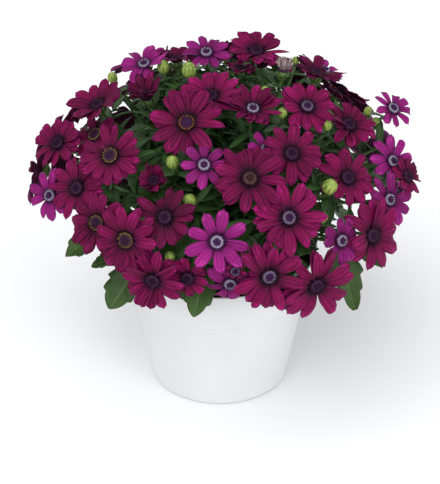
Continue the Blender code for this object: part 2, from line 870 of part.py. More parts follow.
def fuse(name, shapes, slot, home):
    """One body from several overlapping closed shapes."""
    whole = mesh_object(name, *shapes[0], home)
    if len(shapes) > 1:
        pieces = bpy.data.collections.new(name + "_pieces")
        bpy.context.scene.collection.children.link(pieces)
        for index, shape in enumerate(shapes[1:]):
            mesh_object("%s_piece_%03d" % (name, index), *shape, pieces)
        join = whole.modifiers.new("Join", "BOOLEAN")
        join.operation = "UNION"
        join.operand_type = "COLLECTION"
        join.collection = pieces
        join.solver = "EXACT"
        join.use_self = True
        bake(whole)
        for piece in list(pieces.objects):
            bpy.data.objects.remove(piece)
        bpy.data.collections.remove(pieces)
        simplify(whole.data)
    return finish(whole, slot)


def simplify(mesh):
    """Merges the flat scraps that a union leaves, as far as the body stays closed."""
    for angle in FLAT_ANGLES:
        made = bmesh.new()
        made.from_mesh(mesh)
        keep_largest_shell(made)
        if angle:
            bmesh.ops.dissolve_limit(
                made,
                angle_limit=math.radians(angle),
                verts=made.verts[:],
                edges=made.edges[:],
            )
        bmesh.ops.triangulate(made, faces=made.faces[:])
        closed = all(edge.is_manifold for edge in made.edges)
        if closed or not angle:
            made.to_mesh(mesh)
        made.free()
        if closed:
            return


def keep_largest_shell(made):
    """Drops loose scraps and shells sealed inside the body."""
    seen, shells = set(), []
    for start in made.verts:
        if start in seen:
            continue
        shell, queue = [], [start]
        seen.add(start)
        while queue:
            corner = queue.pop()
            shell.append(corner)
            for edge in corner.link_edges:
                other = edge.other_vert(corner)
                if other not in seen:
                    seen.add(other)
                    queue.append(other)
        shells.append(shell)
    shells.sort(key=len)
    for shell in shells[:-1]:
        bmesh.ops.delete(made, geom=shell, context="VERTS")


def bake(thing):
    """Applies an object's modifiers."""
    bpy.context.view_layer.update()
    graph = bpy.context.evaluated_depsgraph_get()
    mesh = bpy.data.meshes.new_from_object(thing.evaluated_get(graph))
    thing.modifiers.clear()
    thing.data = mesh


def revolve(name, profile, sides, home):
    """A turned body from a profile of (radius, height) points, listed from the top axis out."""
    mesh = bpy.data.meshes.new(name)
    corners = [(radius * MM, 0.0, height * MM) for radius, height in profile]
    mesh.from_pydata(corners, [(step, step + 1) for step in range(len(corners) - 1)], [])
    thing = bpy.data.objects.new(name, mesh)
    home.objects.link(thing)
    screw = thing.modifiers.new("Turn", "SCREW")
    screw.steps = sides
    screw.render_steps = sides
    screw.use_merge_vertices = True
    screw.merge_threshold = 1e-5
    screw.use_normal_calculate = True
    return thing


def cut_holes(thing, places, radius, low, high, cutters):
    """Cuts round holes through a body with a group of upright cylinders."""
    tools = bpy.data.collections.new(thing.name + "_cutters")
    cutters.children.link(tools)
    for index, place in enumerate(places):
        drill = bmesh.new()
        bmesh.ops.create_cone(
            drill,
            cap_ends=True,
            segments=HOLE_SIDES,
            radius1=radius,
            radius2=radius,
            depth=high - low,
            matrix=Matrix.Translation((place.x, place.y, (low + high) / 2)),
        )
        tool = mesh_object("%s_cutter_%d" % (thing.name, index), *read_shape(drill), tools)
        tool.hide_render = True
        tool.display_type = "WIRE"
    cut = thing.modifiers.new("Holes", "BOOLEAN")
    cut.operation = "DIFFERENCE"
    cut.operand_type = "COLLECTION"
    cut.collection = tools
    cut.solver = "EXACT"


def pot_radius(height):
    return POT_BASE_RADIUS + POT_TAPER * height


def build_pot(home, cutters):
    collar = pot_radius(COLLAR_BOTTOM)
    lip = pot_radius(POT_HEIGHT)
    profile = [
        (0.0, POT_FLOOR),
        (pot_radius(POT_FLOOR) - POT_WALL, POT_FLOOR),
        (collar - POT_WALL - COLLAR_INSET, COLLAR_BOTTOM),
        (lip - POT_WALL, POT_HEIGHT - LIP_SLOPE),
        (lip, POT_HEIGHT),
        (collar, COLLAR_BOTTOM),
        (collar - COLLAR_STEP, COLLAR_BOTTOM - COLLAR_STEP),
        (pot_radius(POT_EDGE_ROUND), POT_EDGE_ROUND),
        (POT_BASE_RADIUS - POT_EDGE_ROUND * 0.15, POT_EDGE_ROUND * 0.35),
        (POT_BASE_RADIUS - POT_EDGE_ROUND * 0.8, 0.0),
        (0.0, 0.0),
    ]
    pot = revolve("pot", profile, POT_SIDES, home)
    turns = [math.tau * (index + 0.5) / DRAIN_HOLES for index in range(DRAIN_HOLES)]
    places = [Vector((math.cos(turn), math.sin(turn), 0.0)) * DRAIN_RING for turn in turns]
    cut_holes(pot, places, DRAIN_RADIUS, -POT_FLOOR, 2 * POT_FLOOR, cutters)
    bake(pot)
    return finish(pot, "pot")


def pot_block():
    """A plain cone over the pot and the soil that the plant stays out of."""
    block = bmesh.new()
    height = POT_HEIGHT + 0.5
    bmesh.ops.create_cone(
        block,
        cap_ends=True,
        segments=28,
        radius1=POT_BASE_RADIUS + 0.8,
        radius2=pot_radius(height) + 0.8,
        depth=height,
        matrix=Matrix.Translation((0.0, 0.0, height / 2)),
    )
    return read_shape(block)


def build_soil(home, cutters):
    floor = POT_FLOOR + SOIL_GAP
    inset = POT_WALL + SOIL_GAP
    profile = [
        (0.0, SOIL_TOP),
        (pot_radius(SOIL_TOP) - inset - 5, SOIL_TOP - 1),
        (pot_radius(SOIL_TOP) - inset - 0.8, SOIL_TOP - 3),
        (pot_radius(COLLAR_BOTTOM) - inset - COLLAR_INSET, COLLAR_BOTTOM),
        (pot_radius(floor) - inset, floor),
        (0.0, floor),
    ]
    soil = revolve("soil", profile, POT_SIDES, home)
    places = [limb_points(sector)[0][0] for sector in range(STEM_COUNT)]
    low = SOIL_TOP - HOLE_DEPTH
    cut_holes(soil, places, STEM_RADIUS + HOLE_GAP, low, SOIL_TOP + 5, cutters)
    bake(soil)
    return finish(soil, "soil")


def leaf_shape(root, direction, normal, length, width, teeth, bow):
    """A toothed leaf: rim points from the root round the tip and back, and two ribs."""
    direction = direction.normalized()
    across = direction.cross(normal).normalized()
    normal = across.cross(direction).normalized()

    def at(share, side):
        drop = -bow * length * share * share
        return root + direction * length * share + across * side + normal * drop

    left = [(0.0, 0.5)]
    if teeth:
        left += [(0.22, 0.32), (0.40, 0.50), (0.50, 0.41), (0.68, 0.47), (0.76, 0.34), (0.90, 0.25)]
    else:
        left = [(0.45, 0.48), (0.76, 0.36)]
    rim = []
    for share, wide in left:
        reach = 0.5 if share == 0.0 else width * wide
        rim.append(at(share, -reach))
    rim.append(at(1.0, 0.0))
    for share, wide in left[::-1]:
        reach = 0.5 if share == 0.0 else width * wide
        rim.append(at(share, reach))
    if not teeth:
        rim.append(root)
    middle = at(0.5, 0.0)
    top = middle + normal * LEAF_THICK * 0.6
    bottom = middle - normal * LEAF_THICK * 0.5
    return rim, top, bottom


def blade_solid(rim, top, bottom):
    points = rim + [top, bottom]
    crest, keel = len(rim), len(rim) + 1
    faces = []
    for index in range(len(rim)):
        after = (index + 1) % len(rim)
        faces.append((index, after, crest))
        faces.append((after, index, keel))
    return points, faces


def bud_shape(centre, axis, size):
    """A small closed bud on its stalk's end."""
    bud = bmesh.new()
    turn = axis.to_track_quat("Z", "Y").to_matrix().to_4x4()
    place = Matrix.Translation(centre) @ turn @ Matrix.Diagonal((1.0, 1.0, 1.25, 1.0))
    bmesh.ops.create_uvsphere(bud, u_segments=5, v_segments=4, radius=size, matrix=place)
    return read_shape(bud)


class Room:
    """Everything already standing, with the node that each shape belongs to."""

    def __init__(self):
        self.shapes = []

    def add(self, node, points, faces):
        low = Vector([min(point[axis] for point in points) for axis in range(3)])
        high = Vector([max(point[axis] for point in points) for axis in range(3)])
        self.shapes.append((node, low, high, tree_of(points, faces)))

    def clear(self, allowed, points, faces):
        low = [min(point[axis] for point in points) for axis in range(3)]
        high = [max(point[axis] for point in points) for axis in range(3)]
        probe = tree_of(points, faces)
        for other, least, most, tree in self.shapes:
            if other in allowed:
                continue
            if any(low[axis] > most[axis] or high[axis] < least[axis] for axis in range(3)):
                continue
            if probe.overlap(tree):
                return False
        return True


def grow_leaf(room, allowed, root, aims, length, width, teeth, draw):
    """The first of several directions in which a leaf has room, or nothing."""
    for short in (1.0, 0.8):
        for aim in aims:
            normal = Vector((0.0, 0.0, 1.0)) + aim.normalized() * -0.2
            normal += Vector((draw.uniform(-0.4, 0.4), draw.uniform(-0.4, 0.4), 0.0))
            shape = leaf_shape(root, aim, normal, length * short, width * short, teeth, 0.18)
            points, faces = thick_blade(*shape, CLEARANCE)
            if room.clear(allowed, points, faces):
                return blade_solid(*shape)
    return None


def rim_leaf_shape(base, tip, width, teeth):
    """A leaf hung from its base to its tip, with its upper face turned outward."""
    outward = Vector((base.x, base.y, 0.0)).normalized()
    normal = outward * 0.8 + Vector((0.0, 0.0, 0.6))
    return leaf_shape(base, tip - base, normal, (tip - base).length, width, teeth, 0.06)


def plan_buds():
    """Stalk and shape of every bud."""
    made = []
    for name, (x, y, size, lift) in BUDS.items():
        point = from_view(x, y, lift)
        facing = (dome_normal(point) + Vector((0.0, 0.0, 0.5))).normalized()
        size *= 0.72
        stalk = Stalk("bud_" + name, point, facing, size * 0.9, 8.0, [1.4, 1.0, 1.0, 1.4])
        made.append((stalk, bud_shape(point, facing, size)))
    return made


def plan_rim_leaves():
    """Stalk, outline and ribs of every leaf that hangs round the rim."""
    places = []
    for name, (x, y, tip_x, tip_y, wide, depth) in RIM_LEAVES.items():
        base = from_view(x, y, -depth)
        tip = level_with(tip_x, tip_y, base, LEAF_FORWARD)
        places.append((name, base, tip, wide * 0.76))
    draw = random.Random("leaves round the rim")
    for index in range(RIM_BACK_LEAVES):
        turn = math.pi * (index + 0.5) / RIM_BACK_LEAVES + draw.uniform(-0.15, 0.15)
        out = Vector((math.cos(turn), math.sin(turn), 0.0))
        base = out * 108 + Vector((0.0, 0.0, 126 + draw.uniform(-4, 6)))
        tip = out * 126 + Vector((0.0, 0.0, 92 + draw.uniform(-4, 8)))
        places.append(("back_%d" % index, base, tip, 22 + draw.uniform(-3, 5)))
    made = []
    for name, base, tip, width in places:
        along = (tip - base).normalized()
        facing = (along * 0.2 + dome_normal(base) * 0.9).normalized()
        stalk = Stalk("leaf_" + name, base, facing, 0.0, 10.0, [0.9, 1.1, 1.2, 1.5])
        stalk.start = base + along * 2.0
        made.append((stalk, rim_leaf_shape(base, tip, width, True)))
    return made


def build_foliage(blooms, stalks, buds, leaves, room, home):
    extras = {sector: [] for sector in range(STEM_COUNT)}
    for stalk, bud in buds:
        extras[stalk.sector] += [stalk.shape(), bud]
        room.add(stalk.name, *stalk.shape())
        room.add(stalk.name, *bud)
    for sector in range(STEM_COUNT):
        high, low = limb_points(sector)
        room.add("limb", *tube(high, [2.6] * len(high), 5))
        room.add("limb", *tube(low, [2.2] * len(low), 5))
    for stalk, shape in leaves:
        extras[stalk.sector].append(stalk.shape())
        if room.clear((stalk.name,), *thick_blade(*shape, CLEARANCE)):
            extras[stalk.sector].append(blade_solid(*shape))
            room.add(stalk.name, *blade_solid(*shape))
    for sector in range(STEM_COUNT):
        node = "leafy_stem_%d" % sector
        draw = random.Random(node)
        high, low = limb_points(sector)
        shapes = [tube(high, [STEM_RADIUS, STEM_RADIUS, 2.8, 2.4, 1.8], 5)]
        shapes += [tube(low, [2.6, 2.3, 1.8], 4)] + extras[sector]
        own = [bloom for bloom in blooms if stalks[bloom.name].sector == sector]
        shapes += [stalks[bloom.name].shape() for bloom in own]
        roots = []
        for bloom in own:
            stalk = stalks[bloom.name]
            if draw.random() < LEAF_SHARE:
                root = stalk.at(draw.uniform(0.15, 0.3))
                roots.append((root, bloom.facing, LEAF_LENGTH, LEAF_WIDTH, bloom.name))
        for _ in range(CORE_LEAVES):
            stalk = stalks[draw.choice(own).name]
            root = stalk.at(draw.uniform(0.35, 0.8))
            aim = (root - Vector((0.0, 0.0, 95.0))).normalized()
            roots.append((root, aim, CORE_LENGTH, CORE_WIDTH, stalk.name))
        for root, ahead, length, width, owner in roots:
            spin = draw.uniform(0, math.tau)
            side = ahead.orthogonal().normalized()
            aims = []
            for step in range(7):
                turn = spin + math.tau * step / 7
                around = Matrix.Rotation(turn, 3, ahead) @ side
                aims.append(around + ahead * draw.uniform(0.2, 0.7))
            length *= draw.uniform(0.8, 1.15)
            leaf = grow_leaf(room, (owner,), root, aims, length, width, False, draw)
            if leaf is not None:
                shapes.append(leaf)
                room.add(node, *leaf)
        fuse(node, shapes, "foliage", home)


def main():
    for thing in list(bpy.data.objects):
        bpy.data.objects.remove(thing)
    home = bpy.data.collections.new("osteospermum")
    bpy.context.scene.collection.children.link(home)
    cutters = bpy.data.collections.new("cutters")
    bpy.context.scene.collection.children.link(cutters)
    cutters.hide_render = True

    build_pot(home, cutters)
    build_soil(home, cutters)

    front = [bloom_from_plan(name, row) for name, row in FRONT.items()]
    back = back_blooms(front)
    group_back(back)
    blooms = front + back
    nodes = link_groups(blooms)
    lifts = {name: row[5] for name, row in FRONT.items()}
    order = sorted(blooms, key=lambda bloom: (-lifts.get(bloom.name, 0), bloom.name))
    stalks = {bloom.name: bloom_stalk(bloom) for bloom in blooms}
    buds, leaves = plan_buds(), plan_rim_leaves()
    join_stalks(list(stalks.values()) + [stalk for stalk, _ in buds + leaves])
    walls = {name: tree_of(*stalk.shape()) for name, stalk in stalks.items()}
    for stalk, bud in buds:
        walls[stalk.name] = joined_trees([stalk.shape(), bud])
    for stalk, _ in leaves:
        walls[stalk.name] = tree_of(*stalk.shape())
    walls["pot"] = tree_of(*pot_block())
    hubs = {bloom.name: tree_of(*hub_shape(bloom)) for bloom in blooms}
    settle_links(blooms, walls, hubs)
    for bloom in order:
        grow_petals(bloom, blooms, walls, hubs)

    room = Room()
    room.add("pot", *pot_block())
    for bloom in blooms:
        room.add(bloom.node, *bloom_shape(bloom))
        room.add(bloom.name, *stalks[bloom.name].shape())
    for node, members in nodes.items():
        fuse(node, [bloom_shape(bloom) for bloom in members], members[0].colour, home)
    build_foliage(blooms, stalks, buds, leaves, room, home)


main()
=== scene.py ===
"""An osteospermum in flower in its nursery pot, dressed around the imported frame.

Every bloom of the frame is read back from its node: the hub, its axis and the line
of each petal. Fine petals, disc florets and calyxes are built on those lines. The
stalks run from the calyxes to five leafy stems, which carry the leaves and buds.
Lengths are millimetres while a mesh is built and become metres in its object.
"""

from __future__ import annotations

import json
import logging
import math
import random
from dataclasses import dataclass, field
from enum import Enum
from typing import Any, Callable, Iterable, Sequence

import bmesh
import bpy
from mathutils import Matrix, Vector, noise
from mathutils.bvhtree import BVHTree

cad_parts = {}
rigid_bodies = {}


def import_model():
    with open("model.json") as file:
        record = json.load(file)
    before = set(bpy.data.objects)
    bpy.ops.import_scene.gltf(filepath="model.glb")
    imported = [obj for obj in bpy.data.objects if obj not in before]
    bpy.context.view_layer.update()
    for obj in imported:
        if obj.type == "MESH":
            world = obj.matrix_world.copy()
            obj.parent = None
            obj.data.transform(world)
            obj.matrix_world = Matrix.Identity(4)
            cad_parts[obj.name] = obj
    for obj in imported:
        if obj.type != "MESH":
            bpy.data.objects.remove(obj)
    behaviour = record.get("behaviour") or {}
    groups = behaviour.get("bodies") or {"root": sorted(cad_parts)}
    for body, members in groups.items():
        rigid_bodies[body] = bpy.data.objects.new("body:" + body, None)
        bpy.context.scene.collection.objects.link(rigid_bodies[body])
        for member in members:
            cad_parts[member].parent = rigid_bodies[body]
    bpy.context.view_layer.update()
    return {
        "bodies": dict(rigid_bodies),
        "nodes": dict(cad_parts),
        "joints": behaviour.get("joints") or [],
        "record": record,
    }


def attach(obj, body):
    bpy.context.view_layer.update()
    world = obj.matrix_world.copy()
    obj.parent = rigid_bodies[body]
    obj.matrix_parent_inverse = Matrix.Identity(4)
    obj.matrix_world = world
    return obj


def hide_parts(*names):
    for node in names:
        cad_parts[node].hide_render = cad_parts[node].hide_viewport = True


LOG = logging.getLogger("osteospermum")
BODY = "root"
MM = 0.001
WELD = 1e-3
PICTURE_WIDTH = 440
UP = Vector((0.0, 0.0, 1.0))


class Slot(Enum):
    """The record's material slots."""

    BURGUNDY = "petal_burgundy"
    MAGENTA = "petal_magenta"
    FOLIAGE = "foliage"
    POT = "pot"
    SOIL = "soil"


class Side(Enum):
    """The two faces of a blade, told apart by a step in the second map coordinate."""

    UPPER = 0.0
    LOWER = 4.0


# Shader building


class Wire:
    """A node's output, or a plain number, that shader expressions are made from."""

    def __init__(self, board: Board, value: Any) -> None:
        """Keeps the tree and the socket or number.

        Args:
            board: The tree that new nodes go into.
            value: A socket or a number.
        """
        self.board = board
        self.value = value

    def _join(self, operation: str, one: Any, two: Any = None) -> Wire:
        """A Math node on one or two values.

        Args:
            operation: The Math node's operation.
            one: First operand.
            two: Second operand, if the operation has one.

        Returns:
            The node's output.
        """
        inputs = {0: one} if two is None else {0: one, 1: two}
        return self.board.node("ShaderNodeMath", {"operation": operation}, inputs)

    def __add__(self, other: Any) -> Wire:
        """Sum."""
        return self._join("ADD", self, other)

    __radd__ = __add__

    def __sub__(self, other: Any) -> Wire:
        """Difference."""
        return self._join("SUBTRACT", self, other)

    def __rsub__(self, other: Any) -> Wire:
        """Difference, reflected."""
        return self._join("SUBTRACT", other, self)

    def __mul__(self, other: Any) -> Wire:
        """Product."""
        return self._join("MULTIPLY", self, other)

    __rmul__ = __mul__

    def __gt__(self, other: Any) -> Wire:
        """1 where this is greater than the other."""
        return self._join("GREATER_THAN", self, other)

    def size(self) -> Wire:
        """Absolute value."""
        return self._join("ABSOLUTE", self)

    def sine(self) -> Wire:
        """Sine."""
        return self._join("SINE", self)

    def ramp(self, low: float, high: float) -> Wire:
        """A smooth step from 0 at low to 1 at high.

        Args:
            low: Where the step starts.
            high: Where it ends.

        Returns:
            The step.
        """
        settings = {"interpolation_type": "SMOOTHSTEP"}
        inputs = {0: self, 1: low, 2: high, 3: 0.0, 4: 1.0}
        return self.board.node("ShaderNodeMapRange", settings, inputs)


class Board:
    """The node tree of one material, with its shader."""

    def __init__(self, name: str) -> None:
        """Makes the material.

        Args:
            name: The material's name.
        """
        self.material = bpy.data.materials.new(name)
        self.material.use_nodes = True
        self.tree = self.material.node_tree
        self.shader = self.tree.nodes["Principled BSDF"]

    def node(
        self,
        kind: str,
        settings: dict[str, Any] | None = None,
        inputs: dict[Any, Any] | None = None,
        output: Any = 0,
    ) -> Wire:
        """Adds a node.

        Args:
            kind: The node's type.
            settings: Properties set before the sockets; "stops" fills a colour ramp.
            inputs: Values or wires by socket name or number.
            output: Name or number of the output that is returned.

        Returns:
            The chosen output.
        """
        made = self.tree.nodes.new(kind)
        for key, value in (settings or {}).items():
            if key == "stops":
                self._fill(made.color_ramp, value)
            else:
                setattr(made, key, value)
        for key, value in (inputs or {}).items():
            self._plug(made.inputs[key], value)
        return Wire(self, made.outputs[output])

    @staticmethod
    def _fill(ramp: Any, stops: Sequence[tuple[float, Sequence[float]]]) -> None:
        """Gives a colour ramp its stops.

        Args:
            ramp: The node's colour ramp.
            stops: Places and colours, in order.
        """
        while len(ramp.elements) < len(stops):
            ramp.elements.new(1.0)
        for element, (place, colour) in zip(ramp.elements, stops):
            element.position = place
            element.color = (*colour, 1.0)

    def _plug(self, socket: Any, value: Any) -> None:
        """Links a wire to a socket, or sets the socket's number or colour.

        Args:
            socket: The input that is fed.
            value: A wire, a number or a colour.
        """
        if isinstance(value, Wire):
            value = value.value
        if isinstance(value, bpy.types.NodeSocket):
            self.tree.links.new(value, socket)
        elif isinstance(value, tuple) and len(value) == 3 and socket.type == "RGBA":
            socket.default_value = (*value, 1.0)
        else:
            socket.default_value = value

    def mix(self, factor: Any, one: Any, two: Any, blend: str = "MIX") -> Wire:
        """A colour between two, by a factor."""
        settings = {"data_type": "RGBA", "blend_type": blend}
        return self.node("ShaderNodeMix", settings, {0: factor, 6: one, 7: two}, 2)

    def map_xy(self, layer: str) -> tuple[Wire, Wire]:
        """Both coordinates of the piece's own map.

        Args:
            layer: The map's name.

        Returns:
            The two coordinates.
        """
        place = self.node("ShaderNodeUVMap", {"uv_map": layer})
        return (
            self.node("ShaderNodeSeparateXYZ", None, {0: place}, 0),
            self.node("ShaderNodeSeparateXYZ", None, {0: place}, 1),
        )

    def blade_map(self) -> tuple[Wire, Wire, Wire]:
        """Shares along and across a blade, and 1 where its lower face is seen.

        Returns:
            The three wires.
        """
        along, across = self.map_xy("blade")
        under = across > Side.LOWER.value / 2
        return along, across - under * Side.LOWER.value, under

    def vector(self, x: Any, y: Any, z: Any) -> Wire:
        """A vector from three values."""
        return self.node("ShaderNodeCombineXYZ", None, {0: x, 1: y, 2: z})

    def place(self) -> Wire:
        """Object coordinates."""
        return self.node("ShaderNodeTexCoord", None, None, "Object")

    def noise(self, where: Wire, scale: float, detail: float = 2.0) -> Wire:
        """Soft noise from 0 to 1."""
        inputs = {"Vector": where, "Scale": scale, "Detail": detail}
        return self.node("ShaderNodeTexNoise", None, inputs, 0)

    def attribute(self, name: str) -> Wire:
        """A number kept on the mesh."""
        settings = {"attribute_name": name}
        return self.node("ShaderNodeAttribute", settings, None, "Fac")

    def bump(self, height: Wire, strength: float, distance: float) -> Wire:
        """A normal from a height."""
        inputs = {"Height": height, "Strength": strength, "Distance": distance}
        return self.node("ShaderNodeBump", None, inputs)

    def feed(self, **sockets: Any) -> None:
        """Sets or links the shader's sockets; an underscore stands for a space."""
        for key, value in sockets.items():
            self._plug(self.shader.inputs[key.replace("_", " ")], value)


Colour = tuple[float, float, float]


@dataclass(frozen=True)
class Finish:
    """A named finish. Each kind paints the shader in its own way."""

    name: str

    def paint(self, board: Board) -> None:
        """Feeds the shader."""
        raise NotImplementedError

    def make(self) -> bpy.types.Material:
        """The finished material.

        Returns:
            A new material.
        """
        board = Board(self.name)
        self.paint(board)
        return board.material


@dataclass(frozen=True)
class PetalFinish(Finish):
    """Satin petals: a dark throat, a saturated blade, a dusky back, painted shade in the grooves
    and a painted highlight on the outer half.
    """

    throat: Colour
    # Painted shade colour of the grooves, also used towards the root and along the edges
    shade: Colour
    blade: Colour
    # Painted highlight colour, laid in patches on the outer half of each petal
    light: Colour
    back: Colour
    roughness: float = 0.5

    def paint(self, board: Board) -> None:
        """Feeds the shader.

        Args:
            board: The material's board.
        """
        along, across, under = board.blade_map()
        tone = board.attribute("tone")
        fibre = board.noise(board.vector(along * 1.6, across * 7.0, tone * 9.0), 1.0, 3.0)
        lines = (across * 17.0 + fibre * 2.5).sine() * 0.5 + 0.5
        groove = 1.0 - (across.size() - 0.33).size().ramp(0.0, 0.16)
        patch = board.noise(board.vector(along * 2.6, across * 1.3, tone * 7.0), 1.0, 2.0)
        # Darker towards the root, in the shade colour
        colour = board.mix(along.ramp(0.02, 0.38), self.shade, self.blade)
        # Painted highlight: patches of the light colour on the outer half of each petal
        painted_highlight = patch.ramp(0.42, 0.66) * along.ramp(0.25, 0.95)
        colour = board.mix(painted_highlight, colour, self.light)
        # Darker fine lengthwise lines, and painted shade in the two lengthwise grooves; then
        # darker along the edges
        colour = board.mix(lines * 0.3 + groove * 0.4, colour, self.shade)
        colour = board.mix(across.size().ramp(0.75, 1.0) * 0.45, colour, self.shade)
        colour = board.mix(1.0 - along.ramp(0.07, 0.19), colour, self.throat)
        colour = board.mix(under * 0.8, colour, self.back)
        # The petal's random tone scales its colour. The tone is lowered as painted shade for
        # shaded blooms and second-layer petals
        shade = tone * 0.36 + 0.93
        colour = board.mix(1.0, colour, board.vector(shade, shade, shade), "MULTIPLY")
        board.feed(
            Base_Color=colour,
            Roughness=fibre * 0.2 + self.roughness,
            Normal=board.bump(lines * 0.5 + fibre - groove * 1.4, 0.45, 0.0004),
            Specular_IOR_Level=0.1,
        )


@dataclass(frozen=True)
class EyeFinish(Finish):
    """Disc florets coloured by their distance from the middle."""

    middle: Colour
    ring: Colour
    edge: Colour

    def paint(self, board: Board) -> None:
        """Feeds the shader.

        Args:
            board: The material's board.
        """
        out, _ = board.map_xy("blade")
        grain = board.noise(board.place(), 1800.0, 2.0)
        stops = [
            (0.0, self.middle),
            (0.50, self.middle),
            (0.62, self.ring),
            (0.80, self.ring),
            (0.92, self.edge),
        ]
        colour = board.node("ShaderNodeValToRGB", {"stops": stops}, {0: out + grain * 0.16 - 0.08})
        board.feed(
            Base_Color=board.mix(grain.ramp(0.5, 0.75) * 0.4, colour, self.middle),
            Roughness=grain * 0.3 + 0.6,
            Normal=board.bump(grain, 0.5, 0.0004),
            Specular_IOR_Level=0.12,
        )


@dataclass(frozen=True)
class LeafFinish(Finish):
    """Fleshy green leaves with a pale midrib and side veins."""

    deep: Colour
    fresh: Colour
    vein: Colour
    back: Colour

    def paint(self, board: Board) -> None:
        """Feeds the shader.

        Args:
            board: The material's board.
        """
        along, across, under = board.blade_map()
        tone = board.attribute("tone")
        side = across.size()
        rib = 1.0 - side.ramp(0.02, 0.12)
        branch = ((along * 7.0 - side * 1.7) * math.tau).sine().ramp(0.86, 1.0)
        veins = rib * 0.8 + branch * 0.35 * (1.0 - side.ramp(0.6, 1.0))
        patch = board.noise(board.place(), 90.0, 3.0)
        colour = board.mix(patch.ramp(0.3, 0.7) * 0.5 + tone * 0.3 + 0.2, self.deep, self.fresh)
        colour = board.mix(veins * 0.7, colour, self.vein)
        colour = board.mix(under * 0.8, colour, self.back)
        board.feed(
            Base_Color=colour,
            Roughness=patch * 0.2 + 0.42,
            Normal=board.bump(patch * 0.6 - veins, 0.4, 0.0006),
            Specular_IOR_Level=0.3,
        )


@dataclass(frozen=True)
class StemFinish(Finish):
    """Green stalks and calyxes with fine lengthwise mottling."""

    dark: Colour
    light: Colour
    scale: float = 260.0

    def paint(self, board: Board) -> None:
        """Feeds the shader.

        Args:
            board: The material's board.
        """
        grain = board.noise(board.place(), self.scale, 3.0)
        board.feed(
            Base_Color=board.mix(grain.ramp(0.3, 0.7), self.dark, self.light),
            Roughness=grain * 0.2 + 0.45,
            Normal=board.bump(grain, 0.4, 0.0004),
        )


@dataclass(frozen=True)
class PotFinish(Finish):
    """Moulded white plastic with a faint grain and a soft sheen."""

    light: Colour
    cool: Colour

    def paint(self, board: Board) -> None:
        """Feeds the shader.

        Args:
            board: The material's board.
        """
        where = board.place()
        cloud = board.noise(where, 14.0, 3.0)
        grain = board.noise(where, 900.0, 2.0)
        board.feed(
            Base_Color=board.mix(cloud.ramp(0.25, 0.8) * 0.8, self.light, self.cool),
            Roughness=cloud * 0.12 + grain * 0.06 + 0.3,
            Normal=board.bump(grain * 0.4 + cloud, 0.12, 0.0004),
            Specular_IOR_Level=0.5,
        )


@dataclass(frozen=True)
class SoilFinish(Finish):
    """Dark crumbly potting mix with paler specks."""

    dark: Colour
    crumb: Colour
    speck: Colour

    def paint(self, board: Board) -> None:
        """Feeds the shader.

        Args:
            board: The material's board.
        """
        where = board.place()
        lump = board.noise(where, 160.0, 4.0)
        grain = board.noise(where, 700.0, 2.0)
        colour = board.mix(lump.ramp(0.35, 0.7), self.dark, self.crumb)
        colour = board.mix(grain.ramp(0.68, 0.74) * 0.7, colour, self.speck)
        board.feed(
            Base_Color=colour,
            Roughness=lump * 0.1 + 0.85,
            Normal=board.bump(lump + grain * 0.4, 0.8, 0.002),
        )


# In each petal finish, shade is a painted shade colour and light is a painted highlight colour
BURGUNDY_PETAL = PetalFinish(
    "burgundy petal",
    throat=(0.012, 0.001, 0.008),
    shade=(0.036, 0.001, 0.015),
    blade=(0.165, 0.0022, 0.052),
    light=(0.36, 0.008, 0.15),
    back=(0.11, 0.018, 0.066),
)
MAGENTA_PETAL = PetalFinish(
    "magenta petal",
    throat=(0.035, 0.002, 0.03),
    shade=(0.10, 0.004, 0.07),
    blade=(0.235, 0.010, 0.14),
    light=(0.44, 0.038, 0.29),
    back=(0.19, 0.055, 0.155),
)
ROLLED_PETAL = PetalFinish(
    "rolled ray",
    throat=(0.05, 0.01, 0.04),
    shade=(0.16, 0.06, 0.13),
    blade=(0.42, 0.30, 0.36),
    light=(0.62, 0.52, 0.50),
    back=(0.50, 0.42, 0.36),
)
PALE_EYE = EyeFinish(
    "pale ringed eye", (0.045, 0.012, 0.06), (0.30, 0.27, 0.36), (0.06, 0.015, 0.06)
)
GREY_EYE = EyeFinish(
    "grey ringed eye", (0.035, 0.008, 0.045), (0.14, 0.11, 0.17), (0.03, 0.006, 0.025)
)
DARK_EYE = EyeFinish(
    "dark violet eye", (0.02, 0.004, 0.022), (0.05, 0.018, 0.05), (0.03, 0.005, 0.02)
)
ORANGE_EYE = EyeFinish(
    "orange fringed eye", (0.035, 0.010, 0.045), (0.04, 0.012, 0.04), (0.24, 0.085, 0.03)
)
YELLOW_EYE = EyeFinish(
    "yellow fringed eye", (0.03, 0.008, 0.03), (0.05, 0.02, 0.04), (0.20, 0.13, 0.04)
)
BROWN_EYE = EyeFinish(
    "brown eye", (0.035, 0.014, 0.018), (0.09, 0.045, 0.04), (0.04, 0.008, 0.02)
)
LEAF = LeafFinish(
    "leaf green",
    deep=(0.012, 0.036, 0.008),
    fresh=(0.045, 0.12, 0.02),
    vein=(0.08, 0.17, 0.04),
    back=(0.045, 0.10, 0.035),
)
BROAD_LEAF = LeafFinish(
    "broad leaf green",
    deep=(0.016, 0.046, 0.005),
    fresh=(0.036, 0.088, 0.009),
    vein=(0.075, 0.145, 0.03),
    back=(0.04, 0.085, 0.025),
)
STALK = StemFinish("stalk green", (0.03, 0.07, 0.015), (0.065, 0.13, 0.03))
CALYX = StemFinish("calyx green", (0.045, 0.10, 0.02), (0.12, 0.19, 0.04), 500.0)
BUD = StemFinish("bud green", (0.15, 0.24, 0.035), (0.32, 0.40, 0.08), 380.0)
POT = PotFinish("white plastic", (0.69, 0.69, 0.70), (0.62, 0.625, 0.635))
SOIL = SoilFinish("potting mix", (0.010, 0.006, 0.004), (0.035, 0.02, 0.012), (0.16, 0.12, 0.09))

